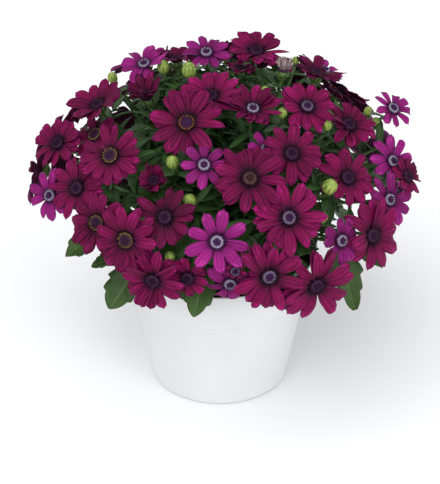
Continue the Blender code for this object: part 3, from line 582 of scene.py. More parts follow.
# Eyes that differ from their slot's usual one
EYES = {
    "bloom_" + name: eye
    for eye, names in (
        (PALE_EYE, ("05", "09", "14", "15", "24", "29", "36", "43", "45")),
        (GREY_EYE, ("17", "28", "40")),
        (ORANGE_EYE, ("13",)),
        (YELLOW_EYE, ("03", "31", "32")),
        (BROWN_EYE, ("27",)),
    )
    for name in names
}

# The flower that is still opening, and the ones that lie in the shade of others and get painted
# shade
OPENING = "bloom_49"
PAINTED_SHADE_BLOOMS = {"bloom_06", "bloom_08", "bloom_18", "bloom_33", "bloom_48"}


class Finishes:
    """Makes each material once."""

    def __init__(self) -> None:
        """Starts with no material made."""
        self.made: dict[str, bpy.types.Material] = {}

    def get(self, finish: Finish) -> bpy.types.Material:
        """The material of a finish.

        Args:
            finish: The finish.

        Returns:
            The one material that has this finish.
        """
        if finish.name not in self.made:
            self.made[finish.name] = finish.make()
        return self.made[finish.name]


# Mesh helpers


class Sheet:
    """A bmesh with its map and tone layers, that closed blades are laid into."""

    def __init__(self) -> None:
        """Starts an empty mesh."""
        self.mesh = bmesh.new()
        self.map = self.mesh.loops.layers.uv.new("blade")
        self.tone = self.mesh.verts.layers.float.new("tone")

    def blade(
        self,
        rows: int,
        columns: int,
        shape: Callable[[float, float], Vector],
        thickness: float,
        tone: float,
    ) -> None:
        """Lays in one thin closed blade, a grid bent to a shape and given a thickness.

        Args:
            rows: Faces along the blade.
            columns: Faces across it.
            shape: The point at a share along and a share from -1 to 1 across.
            thickness: The blade's thickness.
            tone: A number from -1 to 1 kept for the colour.
        """
        made = bmesh.ops.create_grid(
            self.mesh, x_segments=columns, y_segments=rows, size=1.0
        )
        corners = made["verts"]
        maps = {}
        for corner in corners:
            share = (corner.co.y + 1.0) / 2.0
            maps[corner] = (share, corner.co.x)
            corner.co = shape(share, corner.co.x)
            corner[self.tone] = tone
        faces = list({face for corner in corners for face in corner.link_faces})
        for face in faces:
            for loop in face.loops:
                loop[self.map].uv = maps[loop.vert]
        self.mesh.normal_update()
        normals = {corner: corner.normal.copy() for corner in corners}
        under = bmesh.ops.duplicate(self.mesh, geom=faces + corners)
        doubles = under["vert_map"].items()
        twin = {old: new for old, new in doubles if isinstance(old, bmesh.types.BMVert)}
        turned = [item for item in under["geom"] if isinstance(item, bmesh.types.BMFace)]
        bmesh.ops.reverse_faces(self.mesh, faces=turned)
        for corner in corners:
            other = twin[corner]
            other.co = corner.co - normals[corner] * thickness
            maps[other] = (maps[corner][0], maps[corner][1] + Side.LOWER.value)
        for face in turned:
            for loop in face.loops:
                loop[self.map].uv = maps[loop.vert]
        rim = [edge for face in faces for edge in face.edges if edge.is_boundary]
        rim += [edge for face in turned for edge in face.edges if edge.is_boundary]
        bridge = bmesh.ops.bridge_loops(self.mesh, edges=list(set(rim)))
        for face in bridge["faces"]:
            for loop in face.loops:
                loop[self.map].uv = (maps[loop.vert][0], maps[loop.vert][1] % Side.LOWER.value)


def mesh_piece(made: bmesh.types.BMesh, name: str, smooth: bool = True) -> bpy.types.Object:
    """Turns a mesh in millimetres into an object in metres.

    Args:
        made: The mesh, which is freed.
        name: The object's name.
        smooth: Whether its faces are shaded smooth.

    Returns:
        The object, at the origin.
    """
    bmesh.ops.scale(made, vec=(MM, MM, MM), verts=made.verts[:])
    data = bpy.data.meshes.new(name)
    made.to_mesh(data)
    made.free()
    data.polygons.foreach_set("use_smooth", [smooth] * len(data.polygons))
    thing = bpy.data.objects.new(name, data)
    bpy.context.scene.collection.objects.link(thing)
    return thing


def spun(profile: Sequence[tuple[float, float]], segments: int) -> bmesh.types.BMesh:
    """A section turned fully about the upright axis.

    Args:
        profile: Radius and height of the section's corners.
        segments: Steps of the full turn.

    Returns:
        The mesh with its doubles merged.
    """
    made = bmesh.new()
    corners = [made.verts.new((radius, 0.0, z)) for radius, z in profile]
    edges = [made.edges.new(pair) for pair in zip(corners, corners[1:])]
    bmesh.ops.spin(
        made,
        geom=corners + edges,
        cent=(0, 0, 0),
        axis=(0, 0, 1),
        angle=math.tau,
        steps=segments,
        use_merge=True,
    )
    bmesh.ops.remove_doubles(made, verts=made.verts[:], dist=WELD)
    return made


def hand_over(
    piece: bpy.types.Object,
    finish: bpy.types.Material,
    slot: Slot,
    nodes: Iterable[str] = (),
) -> None:
    """Dresses a piece, attaches it to its body and hides the nodes that it stands for.

    Args:
        piece: The finished piece.
        finish: Its material.
        slot: The record's slot that it belongs to; not used.
        nodes: Frame nodes that it replaces.
    """
    piece.data.materials.append(finish)
    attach(piece, BODY)
    if nodes:
        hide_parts(*nodes)
    LOG.info("%s: %d faces", piece.name, len(piece.data.polygons))


def tubes(
    lines: Sequence[tuple[Sequence[Vector], Sequence[float]]], sides: int
) -> bmesh.types.BMesh:
    """Round closed tubes along smooth lines.

    Args:
        lines: The points and the radii of each tube.
        sides: Quarter-turn resolution of the section.

    Returns:
        One mesh that holds all tubes.
    """
    data = bpy.data.curves.new("tubes", "CURVE")
    data.dimensions = "3D"
    data.bevel_depth = 1.0
    data.bevel_resolution = sides
    data.use_fill_caps = True
    for points, radii in lines:
        spline = data.splines.new("POLY")
        spline.points.add(len(points) - 1)
        for place, point, radius in zip(spline.points, points, radii):
            place.co = (*point, 1.0)
            place.radius = radius
    guide = bpy.data.objects.new("tubes", data)
    bpy.context.scene.collection.objects.link(guide)
    graph = bpy.context.evaluated_depsgraph_get()
    mesh = bpy.data.meshes.new_from_object(guide.evaluated_get(graph))
    made = bmesh.new()
    made.from_mesh(mesh)
    bmesh.ops.remove_doubles(made, verts=made.verts[:], dist=WELD)
    bmesh.ops.recalc_face_normals(made, faces=made.faces[:])
    bpy.data.objects.remove(guide)
    bpy.data.curves.remove(data)
    bpy.data.meshes.remove(mesh)
    return made


def smooth_line(points: Sequence[Vector], steps: int) -> list[Vector]:
    """Points of a smooth curve through a few given ones.

    Args:
        points: The points that the curve passes.
        steps: Steps between two of them.

    Returns:
        The curve's points.
    """
    ends = [points[0] * 2 - points[1], *points, points[-1] * 2 - points[-2]]
    found = []
    for index in range(1, len(ends) - 2):
        before, here, after, beyond = ends[index - 1 : index + 3]
        for step in range(steps):
            t = step / steps
            found.append(
                0.5
                * (
                    here * 2
                    + (after - before) * t
                    + (before * 2 - here * 5 + after * 4 - beyond) * t * t
                    + (here * 3 - before - after * 3 + beyond) * t**3
                )
            )
    found.append(points[-1].copy())
    return found


# Reading the blooms back from the frame


@dataclass
class PetalLine:
    """One petal as the frame holds it: where it leaves the hub, its middle and its tip."""

    root: Vector
    middle: Vector
    tip: Vector
    across: Vector
    width: float

    @property
    def length(self) -> float:
        """From root to tip."""
        return (self.tip - self.root).length


@dataclass
class Bloom:
    """One flower read from a frame node."""

    node: str
    centre: Vector
    axis: Vector
    radius: float
    first_turn: float = 0.0
    petals: list[PetalLine | None] = field(default_factory=list)

    def side(self) -> Vector:
        """A direction square to the axis."""
        return self.axis.orthogonal().normalized()

    def turn(self, point: Vector) -> float:
        """The angle round the axis at which a point lies.

        Args:
            point: The point.

        Returns:
            Radians, from 0 to a full turn.
        """
        first = self.side()
        second = self.axis.cross(first)
        offset = point - self.centre
        return math.atan2(offset.dot(second), offset.dot(first)) % math.tau


def frame_of(bloom: Bloom) -> Matrix:
    """The bloom's own axes as a matrix.

    Args:
        bloom: The bloom.

    Returns:
        A matrix whose Z axis is the bloom's axis.
    """
    first = bloom.side()
    second = bloom.axis.cross(first)
    made = Matrix((first, second, bloom.axis)).transposed().to_4x4()
    made.translation = bloom.centre
    return made


@dataclass
class BloomReader:
    """Finds hubs and petals in the merged mesh of a frame node."""

    eye_height: float = 2.8
    hub_depth: float = 2.0
    rib_top: float = 0.7
    rib_bottom: float = 0.6
    fewest_edges: int = 9
    fewest_petals: int = 5
    weld: float = 2e-3
    clear_of_hub: float = 1.0
    slack: float = 0.08
    overlong: float = 1.35

    def read(self, node: str, thing: bpy.types.Object) -> list[Bloom]:
        """Reads every bloom of a node.

        Args:
            node: The node's name.
            thing: The node's object.

        Returns:
            The blooms, in the mesh's order.
        """
        mesh = bmesh.new()
        mesh.from_mesh(thing.data)
        bmesh.ops.scale(mesh, vec=(1 / MM,) * 3, verts=mesh.verts[:])
        bmesh.ops.remove_doubles(mesh, verts=mesh.verts[:], dist=self.weld)
        busy = [corner for corner in mesh.verts if len(corner.link_edges) >= self.fewest_edges]
        whole = self.eye_height + self.hub_depth
        found = []
        for eye in busy:
            for base in busy:
                axis = eye.co - base.co
                if eye is base or abs(axis.length - whole) > self.slack:
                    continue
                axis.normalize()
                ring = self._shared(eye, base)
                if len(ring) < self.fewest_petals:
                    continue
                heights = [(eye.co - corner.co).dot(axis) for corner in ring]
                ring = [
                    corner
                    for corner, height in zip(ring, heights)
                    if abs(height - self.eye_height) < self.slack
                ]
                if len(ring) < self.fewest_petals:
                    continue
                found.append(self._bloom(node, eye, base, ring, axis))
        for bloom in found:
            self._drop_overlong(bloom)
        self._mend(found)
        mesh.free()
        return found

    @staticmethod
    def _shared(one: bmesh.types.BMVert, two: bmesh.types.BMVert) -> list[bmesh.types.BMVert]:
        """Corners joined to both of two corners."""
        beside = {edge.other_vert(two) for edge in two.link_edges}
        return [edge.other_vert(one) for edge in one.link_edges if edge.other_vert(one) in beside]

    def _bloom(
        self,
        node: str,
        eye: bmesh.types.BMVert,
        base: bmesh.types.BMVert,
        ring: list[bmesh.types.BMVert],
        axis: Vector,
    ) -> Bloom:
        """Builds one bloom from its hub.

        Args:
            node: The node's name.
            eye: The hub's upper end.
            base: The hub's lower end.
            ring: The hub's corners between the petals.
            axis: From base to eye.

        Returns:
            The bloom with its petals.
        """
        centre = base.co + axis * self.hub_depth
        small = sum((corner.co - centre).length for corner in ring) / len(ring)
        bloom = Bloom(node, centre.copy(), axis.copy(), small)
        ring = sorted(ring, key=lambda corner: bloom.turn(corner.co))
        bloom.first_turn = bloom.turn(ring[0].co)
        for index, after in enumerate(ring):
            before = ring[index - 1]
            petal = self._petal(bloom, before, after, {eye, base})
            bloom.petals.append(petal)
        return bloom

    def _petal(
        self,
        bloom: Bloom,
        before: bmesh.types.BMVert,
        after: bmesh.types.BMVert,
        ends: set[bmesh.types.BMVert],
    ) -> PetalLine | None:
        """Reads the petal between two hub corners.

        Args:
            bloom: The bloom that it belongs to.
            before: Hub corner on its left.
            after: Hub corner on its right.
            ends: The hub's two ends.

        Returns:
            The petal's line, or None where the mesh doesn't show it plainly.
        """
        hub = bloom.radius + self.clear_of_hub
        ribs = [
            corner
            for corner in self._shared(before, after)
            if corner not in ends and (corner.co - bloom.centre).length > hub
        ]
        if len(ribs) != 2:
            return None
        chord = after.co - before.co
        out = chord.cross(bloom.axis)
        first, second = ribs
        lift = (first.co - second.co).cross(chord).dot(out.cross(chord))
        crest, keel = (first, second) if lift < 0 else (second, first)
        if (crest.co - keel.co).dot(bloom.axis + out.normalized() * 0.01) < 0:
            crest, keel = keel, crest
        share = self.rib_bottom / (self.rib_top + self.rib_bottom)
        middle = crest.co * share + keel.co * (1 - share)
        rim = [corner for corner in self._shared(crest, keel) if corner not in (before, after)]
        if len(rim) < 3:
            return None
        root = (before.co + after.co) / 2
        rim.sort(key=lambda corner: (corner.co - root).length)
        tip = rim[-1].co if len(rim) % 2 else (rim[-1].co + rim[-2].co) / 2
        pair = sorted(rim[:2], key=lambda corner: (corner.co - before.co).length)
        across = pair[1].co - pair[0].co
        return PetalLine(root, middle, tip.copy(), across.normalized(), across.length)

    def _drop_overlong(self, bloom: Bloom) -> None:
        """Forgets petals far longer than the bloom's others, which join two blooms.

        Args:
            bloom: The bloom.
        """
        lengths = sorted(petal.length for petal in bloom.petals if petal)
        for index, petal in enumerate(bloom.petals):
            if petal and petal.length > lengths[len(lengths) // 2] * self.overlong:
                bloom.petals[index] = None

    @staticmethod
    def _mend(blooms: list[Bloom]) -> None:
        """Fills petals that were not read with ones like their neighbours.

        Args:
            blooms: The node's blooms.
        """
        known = [
            (bloom, petal) for bloom in blooms for petal in bloom.petals if petal is not None
        ]
        for bloom in blooms:
            own = [pair for pair in known if pair[0] is bloom] or known
            for index, petal in enumerate(bloom.petals):
                if petal is not None:
                    continue
                source, model = own[index % len(own)]
                turn = math.tau * (index - 0.5) / len(bloom.petals) + bloom.first_turn
                swing = Matrix.Rotation(turn - source.turn(model.middle), 4, "Z")
                carry = frame_of(bloom) @ swing @ frame_of(source).inverted()
                bloom.petals[index] = PetalLine(
                    carry @ model.root,
                    carry @ model.middle,
                    carry @ model.tip,
                    carry.to_3x3() @ model.across,
                    model.width,
                )


# Blooms


@dataclass
class PetalShape:
    """Measures of a fine petal."""

    rows: int = 8
    columns: int = 4
    reach: float = 1.09
    breadth: float = 1.12
    thickness: float = 0.45
    claw: float = 0.40
    widest: float = 0.56
    blunt: float = 0.10
    crowding: float = 1.35
    ridge: float = 0.6
    inset: float = 1.8
    fullest: int = 12
    rolled: float = 1.0
    doubled: float = 0.6

    def half_width(self, share: float) -> float:
        """Half the petal's width at a share of its length, as a share of its widest.

        Args:
            share: Share of the length, from 0 at the root to 1 at the tip.

        Returns:
            The half width.
        """
        if share < self.widest:
            rise = share / self.widest
            return self.claw + (1 - self.claw) * math.sin(rise * math.pi / 2)
        fall = (share - self.widest) / (1 - self.widest)
        return self.blunt + (1 - self.blunt) * math.sqrt(max(1 - fall**2.2, 0.0))

    def lay(
        self, sheet: Sheet, bloom: Bloom, petal: PetalLine, mood: float, draw: random.Random
    ) -> None:
        """Lays one fine petal into a sheet.

        Args:
            sheet: The sheet that takes it.
            bloom: The bloom that it belongs to.
            petal: Its line.
            mood: How light or dark the whole bloom is, from -1 to 1; lowered as painted shade for
                blooms in the shade of others and for a second layer of petals.
            draw: The source of its small differences.
        """
        inward = (bloom.centre - petal.root).normalized() * self.inset
        start = petal.root + inward + bloom.axis * 0.3
        swing = Matrix.Rotation(draw.uniform(-0.1, 0.1), 3, bloom.axis)
        lift = bloom.axis * draw.uniform(-1.6, 1.6)
        long = self.reach * draw.uniform(0.88, 1.05)
        middle = swing @ (petal.middle - bloom.centre) + bloom.centre + lift * 0.3
        tip = swing @ (petal.root.lerp(petal.tip, long) - bloom.centre) + bloom.centre + lift
        bend = middle * 2 - (start + tip) / 2
        half = petal.width * 0.5 * self.breadth * draw.uniform(0.92, 1.12)
        roll = draw.uniform(-0.4, 1.3) * self.rolled
        wave = draw.uniform(0.0, math.tau)
        sway = draw.uniform(-0.9, 0.9)
        curl = draw.uniform(-2.6, 2.2)
        twist = draw.uniform(-0.35, 0.35)
        first = (petal.middle - bloom.centre).cross(bloom.axis).normalized()
        second = petal.across if petal.across.dot(first) > 0 else -petal.across

        def shape(share: float, side: float) -> Vector:
            """The petal's point at a share along and across.

            Args:
                share: Share of the length.
                side: Place across, from -1 to 1.

            Returns:
                The point.
            """
            share = 1 - (1 - share) ** self.crowding
            keep = 1 - share
            line = start * keep * keep + bend * 2 * keep * share + tip * share * share
            along = (bend - start) * keep + (tip - bend) * share
            along.normalize()
            across = first.lerp(second, min(share * 2, 1.0))
            across = (across - along * across.dot(along)).normalized()
            up = across.cross(along)
            wide = half * self.half_width(share)
            angle = side * roll
            flat = math.sin(angle) / roll if abs(roll) > 0.01 else side
            rise = (1 - math.cos(angle)) / roll if abs(roll) > 0.01 else 0.0
            rise += side * twist * share
            ridge = abs(side) * (1 - side * side) * 2.6 * self.ridge * math.sin(math.pi * share)
            edge = 0.25 * side * math.sin(share * 7 + wave)
            bow = across * sway * share * share
            notch = along * -0.9 * (share**6) * (abs(side) ** 1.5 - 0.35 * math.cos(side * 9))
            return line + across * wide * flat + up * (
                wide * rise + ridge + edge + curl * share**4
            ) + bow + notch

        sheet.blade(self.rows, self.columns, shape, self.thickness, mood + draw.uniform(-0.6, 0.6))

    @staticmethod
    def between(bloom: Bloom, lines: Sequence[PetalLine], turn: float) -> PetalLine:
        """A petal line at a direction, drawn from its two neighbours.

        Args:
            bloom: The bloom.
            lines: The bloom's petals in the order of their directions.
            turn: The new direction around the bloom's axis.

        Returns:
            The new line.
        """
        turns = [bloom.turn(petal.middle) for petal in lines]
        count = len(lines)
        gaps = [(turns[(step + 1) % count] - turns[step]) % math.tau for step in range(count)]
        place = next(
            (step for step in range(count) if (turn - turns[step]) % math.tau < gaps[step]), 0
        )
        one, two = lines[place], lines[(place + 1) % count]
        share = ((turn - turns[place]) % math.tau) / gaps[place]
        first = bloom.side()
        out = first * math.cos(turn) + bloom.axis.cross(first) * math.sin(turn)

        def turned(a: Vector, b: Vector) -> Vector:
            """A point between two, swung to the new direction.

            Args:
                a: A point of the first neighbour.
                b: The same point of the second.

            Returns:
                The new point.
            """
            reach, high = 0.0, 0.0
            for point, part in ((a, 1 - share), (b, share)):
                offset = point - bloom.centre
                rise = offset.dot(bloom.axis)
                high += rise * part
                reach += (offset - bloom.axis * rise).length * part
            return bloom.centre + out * reach + bloom.axis * high

        return PetalLine(
            turned(one.root, two.root),
            turned(one.middle, two.middle),
            turned(one.tip, two.tip),
            bloom.axis.cross(out),
            (one.width + two.width) / 2,
        )

    def fill(self, bloom: Bloom) -> list[PetalLine]:
        """The bloom's petals, with more set between them where the frame has few.

        Args:
            bloom: The bloom.

        Returns:
            The lines to build.
        """
        sparse = bloom.node.startswith("spray") or bloom.node == OPENING
        if not sparse or len(bloom.petals) >= self.fullest:
            return bloom.petals
        lines = sorted(bloom.petals, key=lambda petal: bloom.turn(petal.middle))
        start = bloom.turn(lines[0].middle)
        return [
            self.between(bloom, lines, start + math.tau * index / self.fullest)
            for index in range(self.fullest)
        ]

    def under(self, bloom: Bloom, draw: random.Random) -> list[PetalLine]:
        """A second layer of petals behind the gaps of the first.

        Args:
            bloom: The bloom.
            draw: The source of the petals' differences.

        Returns:
            The lines to build.
        """
        if len(bloom.petals) < 3:
            return []
        lines = sorted(bloom.petals, key=lambda petal: bloom.turn(petal.middle))
        count = max(len(lines), self.fullest)
        start = bloom.turn(lines[0].middle) + math.pi / count
        found = []
        for index in range(count):
            if draw.random() > self.doubled:
                continue
            turn = start + math.tau * (index + draw.uniform(-0.25, 0.25)) / count
            line = self.between(bloom, lines, turn)
            drop = bloom.axis * draw.uniform(0.8, 2.6)
            line.middle = line.middle - drop * 0.5
            line.tip = line.root.lerp(line.tip, draw.uniform(0.86, 1.02)) - drop
            found.append(line)
        return found


@dataclass
class EyeShape:
    """Measures of the disc in a bloom's middle."""

    height: float = 2.2
    lift: float = 0.2
    spread: float = 0.98
    rings: tuple[tuple[float, int, float], ...] = (
        (0.94, 18, 1.5),
        (0.7, 13, 1.7),
        (0.46, 9, 1.6),
        (0.2, 4, 1.4),
    )
    floret_foot: float = 0.34
    floret_top: float = 0.5

    def lay(self, sheet: Sheet, bloom: Bloom, draw: random.Random) -> None:
        """Lays the disc with its florets into a sheet.

        Args:
            sheet: The sheet that takes it.
            bloom: The bloom.
            draw: The source of the florets' small differences.
        """
        frame = frame_of(bloom)
        wide = bloom.radius * self.spread
        dome = bmesh.ops.create_icosphere(sheet.mesh, subdivisions=2, radius=1.0)["verts"]
        self._paint(sheet, dome, 1.0)
        lift = frame @ Matrix.Translation((0, 0, self.lift))
        swell = Matrix.Diagonal((wide, wide, self.height, 1))
        bmesh.ops.transform(sheet.mesh, matrix=lift @ swell, verts=dome)
        for share, count, tall in self.rings:
            for index in range(count):
                turn = math.tau * (index + draw.uniform(-0.2, 0.2)) / count
                reach = wide * share
                lean = Matrix.Rotation(share * 0.5 + draw.uniform(-0.1, 0.1), 4, "Y")
                rise = self.lift + self.height * math.sqrt(1 - share**2 * 0.8)
                place = (
                    frame
                    @ Matrix.Rotation(turn, 4, "Z")
                    @ Matrix.Translation((reach, 0, rise))
                    @ lean
                )
                long = tall * draw.uniform(0.8, 1.15)
                floret = bmesh.ops.create_cone(
                    sheet.mesh,
                    cap_ends=True,
                    segments=5,
                    radius1=self.floret_foot,
                    radius2=self.floret_top,
                    depth=long,
                )["verts"]
                self._paint(sheet, floret, share)
                bmesh.ops.transform(sheet.mesh, matrix=place, verts=floret)

    @staticmethod
    def _paint(sheet: Sheet, corners: list[bmesh.types.BMVert], share: float) -> None:
        """Maps faces by their distance from the middle, before they are moved.

        Args:
            sheet: The sheet that holds them.
            corners: The corners of the faces.
            share: The faces' share of the eye's radius, or 1 for the whole disc.
        """
        for face in {face for corner in corners for face in corner.link_faces}:
            for loop in face.loops:
                out = math.hypot(loop.vert.co.x, loop.vert.co.y) if share == 1.0 else share
                loop[sheet.map].uv = (min(out, 1.0), 0.5)


@dataclass
class CalyxShape:
    """Measures of the green cup under a bloom."""

    length: float = 8.0
    neck: float = 1.3
    width: float = 0.72
    drop: float = 2.0
    bulge: float = 1.4
    bracts: int = 11

    def lay(self, sheet: Sheet, bloom: Bloom, draw: random.Random) -> None:
        """Lays the cup and its bracts into a sheet.

        Args:
            sheet: The sheet that takes it.
            bloom: The bloom.
            draw: The source of the bracts' small differences.
        """
        frame = frame_of(bloom)
        wide = bloom.radius * self.width
        cup = bmesh.ops.create_cone(
            sheet.mesh,
            cap_ends=True,
            segments=12,
            radius1=self.neck,
            radius2=wide,
            depth=self.length,
            matrix=frame @ Matrix.Translation((0, 0, -self.drop - self.length / 2)),
        )
        bmesh.ops.translate(sheet.mesh, vec=bloom.axis * 0.4, verts=cup["verts"])
        for index in range(self.bracts):
            turn = math.tau * (index + draw.uniform(-0.15, 0.15)) / self.bracts
            out = frame.to_3x3() @ Vector((math.cos(turn), math.sin(turn), 0))
            side = bloom.axis.cross(out)
            low = bloom.centre + out * wide * 0.7 - bloom.axis * (self.length * 0.55 + self.drop)
            high = bloom.centre + out * (bloom.radius + 0.9) - bloom.axis * draw.uniform(0.8, 1.5)
            bulge = out * self.bulge

            def shape(share: float, across: float) -> Vector:
                """The bract's point at a share along and across."""
                line = low.lerp(high, share) + bulge * math.sin(math.pi * share)
                return line + side * across * 1.1 * math.sin(math.pi * (0.25 + share * 0.72))

            sheet.blade(4, 2, shape, 0.35, draw.uniform(-1, 1))


@dataclass
class BloomBed:
    """All blooms: their petals, eyes and calyxes, one of each piece for a frame node."""

    petal: PetalShape = field(default_factory=PetalShape)
    opening: PetalShape = field(
        default_factory=lambda: PetalShape(fullest=22, rolled=2.2, breadth=0.62, reach=1.5)
    )
    eye: EyeShape = field(default_factory=EyeShape)
    calyx: CalyxShape = field(default_factory=CalyxShape)

    def build(
        self, blooms: dict[str, list[Bloom]], slots: dict[str, str], finishes: Finishes
    ) -> None:
        """Builds the pieces of every bloom node.

        Args:
            blooms: The blooms of each node.
            slots: The record's slot of each node.
            finishes: The materials.
        """
        for node, members in blooms.items():
            slot = Slot(slots[node])
            colour = BURGUNDY_PETAL if slot is Slot.BURGUNDY else MAGENTA_PETAL
            colour = ROLLED_PETAL if node == OPENING else colour
            petals, eyes, cups = Sheet(), Sheet(), Sheet()
            for index, bloom in enumerate(members):
                draw = random.Random("%s %d" % (node, index))
                # Blooms that lie in the shade of others get painted shade; the rest get a random
                # tone
                mood = -0.9 if node in PAINTED_SHADE_BLOOMS else draw.uniform(-0.5, 0.35)
                shape = self.opening if node == OPENING else self.petal
                for line in shape.fill(bloom):
                    shape.lay(petals, bloom, line, mood, draw)
                # Burgundy blooms get a second layer of petals, painted darker as shade behind the
                # first
                if slot is Slot.BURGUNDY:
                    for line in shape.under(bloom, draw):
                        shape.lay(petals, bloom, line, mood - 0.4, draw)
                self.eye.lay(eyes, bloom, draw)
                self.calyx.lay(cups, bloom, draw)
            default = PALE_EYE if slot is Slot.MAGENTA else DARK_EYE
            for sheet, part, finish, home, stood_for in (
                (petals, "petals", colour, slot, [node]),
                (eyes, "eyes", EYES.get(node, default), slot, []),
                (cups, "calyxes", CALYX, Slot.FOLIAGE, []),
            ):
                piece = mesh_piece(sheet.mesh, "%s_%s" % (node, part))
                hand_over(piece, finishes.get(finish), home, stood_for)


# Foliage


@dataclass
class Dome:
    """The dome that the flowers lie on, and the front view that places are given in."""

    centre: float = 160.0
    radius: float = 140.0
    up: float = 103.0
    down: float = 72.0
    elevation: float = math.radians(31.4)
    distance: float = 1500.0
    focal: float = 1935.0
    aim: float = 116.6
    middle_x: float = 219.5
    middle_y: float = 242.0

    def normal(self, point: Vector) -> Vector:
        """The dome's outward direction near a point.

        Args:
            point: The point.

        Returns:
            A vector of length 1.
        """
        height = self.up if point.z > self.centre else self.down
        flat = 1 / self.radius**2
        rise = (point.z - self.centre) / height**2
        return Vector((point.x * flat, point.y * flat, rise)).normalized()

    def outside(self, point: Vector) -> bool:
        """Whether a point stands out of the dome.

        Args:
            point: The point.

        Returns:
            True where it stands out.
        """
        height = self.up if point.z > self.centre else self.down
        flat = (point.x**2 + point.y**2) / self.radius**2
        return flat + ((point.z - self.centre) / height) ** 2 > 1.0

    def view(self) -> tuple[Vector, Vector]:
        """Directions to the viewer and up in the front view.

        Returns:
            Two vectors of length 1.
        """
        back = Vector((0.0, -math.cos(self.elevation), math.sin(self.elevation)))
        upward = Vector((0.0, math.sin(self.elevation), math.cos(self.elevation)))
        return back, upward

    def sight(self, x: float, y: float) -> tuple[Vector, Vector]:
        """The front view's eye and the line from it through a pixel.

        Args:
            x: Pixels from the picture's left edge.
            y: Pixels from its upper edge.

        Returns:
            The eye, and the line, which isn't of length 1.
        """
        back, upward = self.view()
        eye = Vector((0.0, 0.0, self.aim)) + back * self.distance
        ray = Vector((x - self.middle_x, 0.0, 0.0)) + upward * (self.middle_y - y)
        return eye, ray - back * self.focal

    def level_with(self, x: float, y: float, base: Vector, forward: float) -> Vector:
        """The point seen at a pixel, as far from the viewer as a base or a little nearer.

        Args:
            x: Pixels from the picture's left edge.
            y: Pixels from its upper edge.
            base: The point whose distance it takes.
            forward: How much nearer it lies.

        Returns:
            The point.
        """
        back, _ = self.view()
        eye, ray = self.sight(x, y)
        return eye + ray * (((eye - base).dot(back) - forward) / self.focal)

    def seen_at(self, x: float, y: float, lift: float) -> Vector:
        """The point seen at a pixel of the front view, on the dome raised by a lift.

        Args:
            x: Pixels from the picture's left edge.
            y: Pixels from its upper edge.
            lift: Height above the dome.

        Returns:
            The point.
        """
        base = Vector((0.0, 0.0, self.centre))
        eye, ray = self.sight(x, y)
        ray.normalize()
        point = best = None
        for height in (self.up, self.down):
            wide = 1 / (self.radius + lift)
            scale = Vector((wide, wide, 1 / (height + lift)))
            start = (eye - base) * scale
            step = ray * scale
            a = step.dot(step)
            b = start.dot(step)
            root = b * b - a * (start.dot(start) - 1)
            point = eye + ray * ((-b - math.sqrt(max(root, 0.0))) / a)
            if (point.z > self.centre) == (height == self.up):
                best = point
        offset = (point if best is None else best) - base
        height = self.up if offset.z > 0 else self.down
        size = math.sqrt(
            (offset.x**2 + offset.y**2) / self.radius**2 + offset.z**2 / height**2
        )
        point = base + offset / size
        return point + self.normal(point) * lift


@dataclass
class Stalk:
    """One stalk from what it carries down to its leafy stem."""

    name: str
    tip: Vector
    facing: Vector
    depth: float
    neck_length: float
    dome: Dome
    low_limit: float = 148.0
    bend_in: float = 0.74
    bend_down: float = 0.70
    bend_back: float = 30.0
    lowest_bend: float = 129.0
    fan_height: float = 118.0
    joint: Vector = field(default_factory=Vector)

    @property
    def start(self) -> Vector:
        """The stalk's upper end."""
        return self.tip - self.facing * self.depth

    @property
    def neck(self) -> Vector:
        """Where the stalk has its plain thickness."""
        return self.tip - self.facing * (self.depth + self.neck_length)

    @property
    def bend(self) -> Vector:
        """The point that a low stalk bends through.

        Returns:
            The point.
        """
        bend = Vector((self.tip.x * self.bend_in, self.tip.y * self.bend_in, 0.0))
        bend.z = self.dome.centre + (self.tip.z - self.dome.centre) * self.bend_down
        bend = bend * 0.6 + (self.tip - self.facing * self.bend_back) * 0.4
        bend.z = max(bend.z, self.lowest_bend)
        return bend

    def line(self) -> list[Vector]:
        """The stalk's corner points from its start to its joint.

        Returns:
            The points.
        """
        if self.tip.z > self.low_limit:
            return [self.start, self.neck, self.joint]
        return [self.start, self.neck, self.bend, self.joint]

    def steepness(self) -> float:
        """How steeply the stalk rises from the plant's middle."""
        return math.atan2(self.tip.z - self.fan_height, math.hypot(self.tip.x, self.tip.y))


# Buds seen from the front: centre and radius in the view's pixels, lift off the dome
BUDS = {
    "a": (163, 67, 6, 2),
    "b": (189, 70, 7, 0),
    "c": (112, 78, 5, 2),
    "d": (173, 161, 6, -3),
    "e": (282, 113, 5, 0),
    "f": (265, 91, 4, 2),
    "g": (369, 112, 4, 4),
    "h": (376, 122, 4, 2),
    "i": (327, 125, 5, 0),
    "j": (330, 187, 7, 1),
    "k": (190, 197, 6, -8),
    "l": (170, 255, 5, -8),
    "m": (322, 216, 5, -6),
    "n": (296, 60, 4, 0),
}

# Leaves hanging round the rim: base and tip in the view's pixels, width, depth inward
RIM_LEAVES = {
    "a": (138, 262, 110, 309, 38, 24),
    "b": (94, 234, 64, 254, 26, 20),
    "c": (117, 254, 91, 265, 14, 18),
    "d": (204, 268, 195, 317, 30, 26),
    "e": (333, 258, 360, 308, 42, 27),
    "f": (356, 256, 382, 268, 14, 18),
    "g": (352, 92, 348, 112, 12, 14),
}


@dataclass
class LeafPlace:
    """Where one leaf goes: its root, its direction, its upper side and its size."""

    root: Vector
    aim: Vector
    normal: Vector
    length: float
    width: float
    bow: float = 0.2


